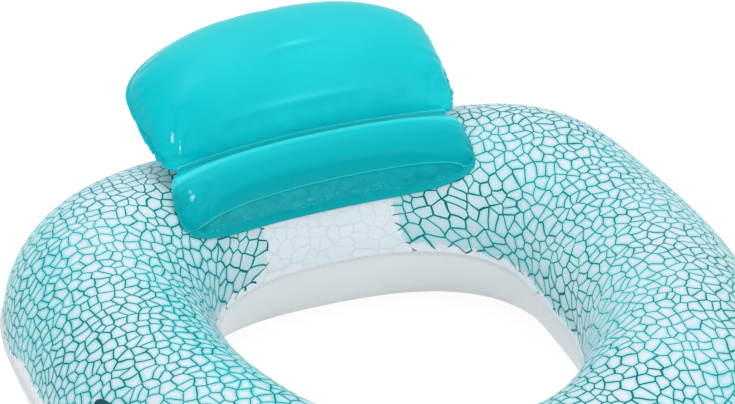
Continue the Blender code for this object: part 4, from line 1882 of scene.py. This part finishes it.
        points = np.stack([cos * x - sin * back, sin * x + cos * back + self.turn_about, z], -1)
        normals = np.stack([cos * tip[..., 0] - sin * tip[..., 1],
                            sin * tip[..., 0] + cos * tip[..., 1], tip[..., 2]], -1)
        return points, normals

    def surface(self, across: Array, along: Array, height: Array) -> Array:
        """Points at a height over the middle plane, with the hem drawn on to the ring.

        The move is square to the ring's skin, whole on the hem's flange, and it fades
        upwards.

        Args:
            across: Across of each point.
            along: Along of each point.
            height: Height of each, less than 0 behind the plane.

        Returns:
            The points.
        """
        points, normals = self.plane(across + self.ragged(across, along), along)
        bearing, section, lift = self.ring.place(points)
        fade = 1 - smooth(along, self.hem_flange, self.hem_flange + self.hem_fade)
        gap = (lift - self.seat) * fade
        out = self.outward(bearing, section)
        return points + normals * height[..., None] - out * gap[..., None]

    def ragged(self, across: Array, along: Array) -> Array:
        """Sideways move of the welded ends, which pucker along their lower half.

        Args:
            across: Across of each point.
            along: Along of each point.

        Returns:
            The move across.
        """
        sizes = self.edges
        v = self.shares(across, along)[1]
        up = along / (self.roll_length + self.upper_length)
        wave = ripple(up + sizes.other_end * np.sign(across), (19, 29, 43), 29)
        near = smooth(np.abs(v), *sizes.pucker_side) * smooth(along, *sizes.pucker_foot)
        return sizes.pucker * wave * near * (1 - smooth(along, *sizes.pucker_top))

    @staticmethod
    def outward(bearing: Array, section: Array) -> Array:
        """Directions square to the ring's tube."""
        return np.stack([np.cos(section) * np.cos(bearing), np.cos(section) * np.sin(bearing),
                         np.sin(section)], -1)

    def off_ring(self, points: Array, least: float) -> Array:
        """Pushes points that would sink in the ring out to its skin.

        Args:
            points: Points of the cushion.
            least: Least distance off the skin.

        Returns:
            The points.
        """
        bearing, section, lift = self.ring.place(points)
        out = self.outward(bearing, section)
        return points + out * np.maximum(least - lift, 0.0)[..., None]

    def sides(self, across: Array, along: Array) -> Tuple[Array, Array]:
        """The front and the back grid."""
        front, back = self.heights(across, along)
        return self.both(across, along, front + self.half_weld, -back - self.half_weld)

    def both(self, across: Array, along: Array, front: Array, back: Array) -> Tuple[Array, Array]:
        """Points in front of and behind the middle plane, kept out of the ring."""
        return (self.off_ring(self.surface(across, along, front), self.seat + 2 * self.half_weld),
                self.off_ring(self.surface(across, along, back), self.seat))

    @staticmethod
    def perimeter(shape: Tuple[int, int]) -> Array:
        """Grid indices round the edge, turning left seen from the front.

        Args:
            shape: Rows and columns of the grid.

        Returns:
            The indices.
        """
        rows, columns = shape
        index = np.arange(rows * columns).reshape(rows, columns)
        return np.concatenate([index[0, :-1], index[:-1, -1], index[-1, :0:-1], index[:0:-1, 0]])

    def rim(self, across: Array, along: Array, loop: Array) -> Tuple[Array, Array]:
        """The flat weld outside the grid: its outer edge in front and behind.

        The weld is tucked back a little behind the crowns, but not at the hem.

        Args:
            across: Across of each point.
            along: Along of each point.
            loop: Grid indices round the edge.

        Returns:
            The front and the back edge points.
        """
        edge = np.stack([across.ravel()[loop], along.ravel()[loop]], -1)
        ahead = np.roll(edge, -1, axis=0) - np.roll(edge, 1, axis=0)
        out = np.stack([ahead[:, 1], -ahead[:, 0]], -1)
        out /= np.linalg.norm(out, axis=1, keepdims=True)
        around = np.arange(len(loop)) / len(loop)
        sizes = self.edges
        wave = sizes.scallop * ripple(around, (83, 61, 107, 47), 23)
        wave = 1 + wave * smooth(edge[:, 1], *sizes.scallop_foot) * (
            1 - smooth(edge[:, 1], *sizes.scallop_top))
        flat = edge + out * (self.weld_width * wave)[:, None]
        tuck = sizes.tuck * smooth(edge[:, 1], *sizes.tuck_foot)
        return self.both(flat[:, 0], flat[:, 1], self.half_weld - tuck, -self.half_weld - tuck)

    @staticmethod
    def assemble(front: Array, back: Array, loop: Array,
                 rim: Tuple[Array, Array]) -> Tuple[Array, Array, Array]:
        """Joins the two grids and the rim into one closed skin.

        Args:
            front: Front grid points.
            back: Back grid points.
            loop: Grid indices round the edge.
            rim: Outer edge points, front and back.

        Returns:
            Points, faces, and for each point its grid index, or on the rim -1, -2 and so
            on in the loop's order.
        """
        count = front.shape[0] * front.shape[1]
        edge = len(loop)
        points = np.concatenate([front.reshape(-1, 3), back.reshape(-1, 3), rim[0], rim[1]])
        front_faces = grid_faces(front.shape[0], front.shape[1])
        back_faces = front_faces[:, ::-1] + count
        here = np.arange(edge)
        after = (here + 1) % edge
        outer_front = 2 * count + here
        outer_back = outer_front + edge
        next_front = 2 * count + after
        next_back = next_front + edge
        front_rim = np.stack([loop, outer_front, next_front, loop[after]], -1)
        edge_band = np.stack([outer_front, outer_back, next_back, next_front], -1)
        back_rim = np.stack([outer_back, loop + count, loop[after] + count, next_back], -1)
        faces = np.concatenate([front_faces, back_faces, front_rim, edge_band, back_rim])
        grid = np.arange(count)
        owner = np.concatenate([grid, grid, -1 - np.arange(2 * edge)])
        return points, faces, owner


# Handles and strip


@dataclass
class Handle:
    """A grab handle of thick soft vinyl on one arm, with the oval patches at its feet."""

    ring: RingShape
    shift: float
    name: str
    side: float
    section: float = math.radians(44.0)
    rear_bearing: float = math.radians(-23.7)
    front_bearing: float = math.radians(-43.7)
    rise: float = 0.036
    grip_half_width: float = 0.0115
    grip_half_thickness: float = 0.0055
    foot_half_width: float = 0.0110
    foot_half_thickness: float = 0.0016
    foot_share: float = 0.13
    arch_power: float = 0.75
    tip_power: float = 8.0
    side_power: float = 0.8
    crown_power: float = 0.9
    thin_tip_power: float = 0.6
    bead: float = 0.0007
    bead_spread: float = 0.06
    patch_gap: float = 0.0003
    patch_share: float = 0.6
    patch_half_length: float = 0.032
    patch_half_width: float = 0.0135
    patch_top: float = 0.0016
    patch_sheet: float = 0.0009
    patch_line: float = 0.00035
    patch_line_at: float = 0.84
    patch_line_spread: float = 0.035
    patch_edge: float = 0.0008
    patch_edge_fade: Pair = (0.93, 1.0)
    stations: int = 120
    sides: int = 40
    patch_sides: int = 96
    rings: int = 26
    step: float = 1e-4

    def build(self, material: Material) -> None:
        """Builds the grip and its two patches, all of one finish."""
        self.grip(material)
        middle = self.patch_share * self.foot_share
        for place_name, share in (("rear", middle), ("front", 1 - middle)):
            self.patch(place_name, share, material)

    def frame(self, bearing: Array, section: Array) -> Tuple[Array, Array]:
        """Points on the ring's skin and the directions square to it.

        Args:
            bearing: Angles from +X.
            section: Angles round the tube.

        Returns:
            The points and the unit normals.
        """
        skin = self.ring.skin(bearing, section)
        along = self.ring.skin(bearing + self.step, section) - skin
        around = self.ring.skin(bearing, section + self.step) - skin
        out = np.cross(along, around)
        return skin, out / np.linalg.norm(out, axis=-1, keepdims=True)

    def settled(self, points: Array) -> Array:
        """Moves points from the hole's middle to the frame, on the handle's own side."""
        return points * (self.side, 1.0, 1.0) + (0.0, self.shift, 0.0)

    def grip(self, material: Material) -> None:
        """Builds the grip: an oval section swept along an arch over the arm.

        With s the share along it and a = (s - f) / (1 - 2f) between its feet, it rises
        h sin(pi a)^p off the arm, and its tips round off as sqrt(1 - |2s - 1|^q).

        Args:
            material: Its finish.
        """
        share = (1 - np.cos(np.pi * np.linspace(0.0, 1.0, self.stations))) / 2
        arch = np.clip((share - self.foot_share) / (1 - 2 * self.foot_share), 0, 1)
        arch = np.sin(np.pi * arch) ** self.arch_power
        tip = np.sqrt(np.clip(1 - np.abs(2 * share - 1) ** self.tip_power, 0, 1))
        width = self.foot_half_width + (self.grip_half_width - self.foot_half_width) * arch
        thick = self.foot_half_thickness + (
            self.grip_half_thickness - self.foot_half_thickness) * arch
        bearing = self.rear_bearing + (self.front_bearing - self.rear_bearing) * share
        skin, out = self.frame(bearing, np.full_like(bearing, self.section))
        lift = self.patch_top + self.patch_gap + thick + self.rise * arch
        path = skin + out * lift[:, None]
        ahead = np.gradient(path, axis=0)
        across = np.cross(out, ahead)
        across /= np.linalg.norm(across, axis=1, keepdims=True)
        up = np.cross(ahead, across)
        up /= np.linalg.norm(up, axis=1, keepdims=True)
        turn = 2 * np.pi * np.arange(self.sides) / self.sides
        edge = self.bead * np.exp(-((np.abs(np.cos(turn)) - 1) / self.bead_spread) ** 2)
        wide = np.sign(np.cos(turn)) * np.abs(np.cos(turn)) ** self.side_power
        high = np.sign(np.sin(turn)) * (
            np.abs(np.sin(turn)) ** self.crown_power + edge / self.grip_half_thickness)
        thick = thick * tip ** self.thin_tip_power
        points = (path[:, None] + across[:, None] * (width * tip)[:, None, None] * wide[:, None]
                  + up[:, None] * thick[:, None, None] * high[:, None])
        faces = grid_faces(self.stations, self.sides, closed=True)
        self.finish(f"{self.name}_handle_grip", points, faces, material)

    def patch(self, place_name: str, share: float, material: Material) -> None:
        """Builds an oval patch on the ring's skin, with a pressed line inside its edge.

        Args:
            place_name: Which foot it is under.
            share: Where its middle is along the handle.
            material: Its finish.
        """
        middle = self.rear_bearing + (self.front_bearing - self.rear_bearing) * share
        centre, half = self.ring.tube(np.array(middle))
        reach = float(centre + half * math.cos(self.section))
        turn = 2 * np.pi * np.arange(self.patch_sides) / self.patch_sides
        radius = np.sin(np.pi / 2 * np.linspace(1.0, 0.0, self.rings))[:, None]
        bearing = middle + self.patch_half_length * radius * np.cos(turn) / reach
        section = self.section + self.patch_half_width * radius * np.sin(turn) / float(half)
        line = self.patch_line * np.exp(
            -((radius - self.patch_line_at) / self.patch_line_spread) ** 2)
        edge = self.patch_edge * smooth(radius, *self.patch_edge_fade)
        skin, out = self.frame(bearing, section)
        lift = self.patch_top - line - edge
        points = skin + out * np.broadcast_to(lift, bearing.shape)[..., None]
        faces = grid_faces(self.rings, self.patch_sides, closed=True)
        piece = self.finish(f"{self.name}_handle_{place_name}_patch", points, faces, material)
        thicken(piece, self.patch_sheet)

    def finish(self, name: str, points: Array, faces: Array, material: Material) -> Piece:
        """Makes a piece with its faces outwards and its poles closed.

        Args:
            name: Name of the piece and of the solid that it stands for.
            points: Its points.
            faces: Its faces.
            material: Its finish.

        Returns:
            The piece.
        """
        piece = new_piece(name + "_vinyl", self.settled(points), faces, material)
        shape = bmesh.new()
        shape.from_mesh(piece.data)
        bmesh.ops.remove_doubles(shape, verts=shape.verts, dist=1e-6)
        bmesh.ops.recalc_face_normals(shape, faces=shape.faces)
        top = max(shape.faces, key=lambda face: face.calc_center_median().z)
        if top.normal.z < 0:
            bmesh.ops.reverse_faces(shape, faces=shape.faces)
        shape.to_mesh(piece.data)
        shape.free()
        piece.data.shade_smooth()
        place(piece, Body.RING, Slot.DARK_TEAL, name)
        return piece


@dataclass
class Strip:
    """The clear strip under the hem that welds the backrest to the ring."""

    cushion: Cushion
    half_length: float = 0.185
    width: float = 0.011
    lift: float = 0.0014
    sheet: float = 0.0004
    columns: int = 161
    rows: int = 9

    def build(self) -> None:
        """Builds the strip on the ring's skin, under the cushion's flange."""
        across = np.linspace(-self.half_length, self.half_length, self.columns)
        along = np.linspace(0.0, self.width, self.rows)
        along, across = np.meshgrid(along, across, indexing="ij")
        points, _ = self.cushion.plane(across, along)
        bearing, section, _ = self.cushion.ring.place(points)
        points = self.cushion.ring.skin(bearing, section, self.lift)
        points[..., 1] += self.cushion.shift
        faces = grid_faces(self.rows, self.columns)
        piece = new_piece("backrest_clear_strip", points, faces, CLEAR.build())
        thicken(piece, self.sheet)
        place(piece, Body.RING, Slot.CLEAR, "backrest_attachment_strip")


# Carried-over solids


def dress_solids() -> None:
    """Gives the solids that stay in view their finish."""
    finishes = {Slot.DARK_TEAL.value: DARK_TEAL.build(), Slot.CLEAR.value: CLEAR.build()}
    slots = {part["node"]: part["material_slot"] for part in frame["record"]["subparts"]}
    for name, node in frame["nodes"].items():
        finish = finishes.get(slots[name])
        if finish is None or node.hide_render:
            continue
        node.data.materials.clear()
        node.data.materials.append(finish)
        LOG.info("%s keeps its solid", name)


# Studio


@dataclass(frozen=True)
class Lamp:
    """A soft square lamp: where it stands, its side length and its watts."""

    name: str
    spot: Tuple[float, float, float]
    size: float
    power: float


LAMPS = (
    Lamp("key_lamp", (-1.5, -1.0, 2.9), 1.5, 6.9),
    Lamp("front_lamp", (0.3, -3.0, 1.4), 1.8, 14.6),
    Lamp("side_lamp", (2.3, -0.6, 2.2), 1.6, 1.5),
    Lamp("top_lamp", (-0.1, 0.4, 3.2), 1.2, 17.5),
    Lamp("rear_lamp", (-0.6, 1.9, 2.0), 1.2, 2.0),
)


@dataclass(frozen=True)
class Studio:
    """Camera, lamps, floor and sky round the chair."""

    shift: float
    seam_height: float
    azimuth: float = -0.36689
    elevation: float = 0.54574
    roll: float = 0.00845
    distance: float = 3.6207
    focal_pixels: float = 2312.56
    picture_width: int = 735
    sensor: float = 36.0
    aim_x: float = 0.09726
    aim_y: float = 0.31480
    lamp_aim: float = 0.2
    floor_size: float = 14.0
    floor_level: float = -0.0005
    floor_paleness: float = 0.92
    seen_paleness: float = 0.14
    floor_glow: float = 0.925
    sky: float = 0.74

    def build(self) -> None:
        """Builds all of it."""
        self.camera()
        self.floor()
        self.world()
        for lamp in LAMPS:
            self.light(lamp)

    def camera(self) -> None:
        """Sets the camera where the photograph was taken from."""
        cos_el, sin_el = math.cos(self.elevation), math.sin(self.elevation)
        back = Vector((math.sin(self.azimuth) * cos_el, -math.cos(self.azimuth) * cos_el, sin_el))
        level = Vector((math.cos(self.azimuth), math.sin(self.azimuth), 0.0))
        up = back.cross(level)
        cos_roll, sin_roll = math.cos(self.roll), math.sin(self.roll)
        right = level * cos_roll + up * sin_roll
        over = up * cos_roll - level * sin_roll
        aim = Vector((self.aim_x, self.aim_y + self.shift, self.seam_height))
        data = bpy.data.cameras.new("camera")
        data.sensor_fit = "HORIZONTAL"
        data.sensor_width = self.sensor
        data.lens = self.focal_pixels * self.sensor / self.picture_width
        camera = bpy.data.objects.new("camera", data)
        turn = Matrix((right, over, back)).transposed().to_4x4()
        camera.matrix_world = Matrix.Translation(aim + back * self.distance) @ turn
        bpy.context.scene.collection.objects.link(camera)
        bpy.context.scene.camera = camera

    def light(self, lamp: Lamp) -> None:
        """Adds a lamp that points at the chair.

        Args:
            lamp: The lamp.
        """
        data = bpy.data.lights.new(lamp.name, "AREA")
        data.size = lamp.size
        data.energy = lamp.power
        made = bpy.data.objects.new(lamp.name, data)
        made.location = lamp.spot
        toward = Vector((0.0, 0.0, self.lamp_aim)) - Vector(lamp.spot)
        made.rotation_euler = toward.to_track_quat("-Z", "Y").to_euler()
        bpy.context.scene.collection.objects.link(made)

    def floor(self) -> None:
        """Lays the pale floor, which shows white away from the chair's shadow.

        What it throws back on the chair is that of a plain pale floor. Where it is seen, it
        glows and takes only little shadow.
        """
        half, level = self.floor_size / 2, self.floor_level
        points = np.array([(-half, -half, level), (half, -half, level), (half, half, level),
                           (-half, half, level)])
        material, graph, shader = new_material("pale_floor")
        graph.tree.nodes.remove(shader)
        output = graph.tree.nodes["Material Output"]
        seen = self.seen_ray(graph)
        plain = graph.node("BsdfDiffuse", Color=(*[self.floor_paleness] * 3, 1.0))
        dim = graph.node("BsdfDiffuse", Color=(*[self.seen_paleness] * 3, 1.0))
        glow = graph.node("Emission", Color=(1.0, 1.0, 1.0, 1.0), Strength=self.floor_glow)
        both = graph.node("AddShader")
        graph.put(both.inputs[0], dim.outputs[0])
        graph.put(both.inputs[1], glow.outputs[0])
        blend = graph.node("MixShader")
        for socket, value in zip(blend.inputs, (seen, plain.outputs[0], both.outputs[0])):
            graph.put(socket, value)
        graph.put(output.inputs["Surface"], blend.outputs[0])
        new_piece("floor", points, np.array([[0, 1, 2, 3]]), material)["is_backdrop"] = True

    @staticmethod
    def seen_ray(graph: Graph) -> Socket:
        """Socket that is 1 for rays of the camera and of mirrors and clear pieces.

        Args:
            graph: Graph of the material or world.

        Returns:
            The socket.
        """
        path = graph.node("LightPath")
        mirrors = graph.maths("MAXIMUM", path.outputs["Is Glossy Ray"],
                              path.outputs["Is Transmission Ray"])
        return graph.maths("MAXIMUM", path.outputs["Is Camera Ray"], mirrors)

    def world(self) -> None:
        """Makes the sky: even and white, at a plain level for what it lights."""
        world = bpy.data.worlds.new("sky")
        world.use_nodes = True
        graph = Graph(world.node_tree)
        background = world.node_tree.nodes["Background"]
        background.inputs["Color"].default_value = (1.0, 1.0, 1.0, 1.0)
        seen = self.seen_ray(graph)
        strength = graph.maths("MULTIPLY_ADD", seen, 1.0 - self.sky, self.sky)
        graph.put(background.inputs["Strength"], strength)
        bpy.context.scene.world = world
        bpy.context.scene.view_settings.view_transform = "Standard"


# The whole


def corners() -> Sequence[Sequence[float]]:
    """Lowest and highest corner of what shows, as plain lists."""
    return [list(map(float, corner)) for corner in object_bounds()]


def main() -> None:
    """Builds every sub-assembly in order."""
    logging.basicConfig(level=logging.INFO, format="%(name)s: %(message)s")
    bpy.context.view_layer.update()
    shape = RingShape()
    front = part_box("ring_top_sheet")[0].y
    shift = front + shape.front_reach + shape.seam_width
    Studio(shift, shape.seam_height).build()
    Ring(shape, shift).build()
    cushion = Cushion(shape, shift)
    cushion.build()
    Strip(cushion).build()
    strap = DARK_TEAL.build()
    Handle(shape, shift, "left", 1.0).build(strap)
    Handle(shape, shift, "right", -1.0).build(strap)
    dress_solids()


if __name__ == "__main__":
    main()
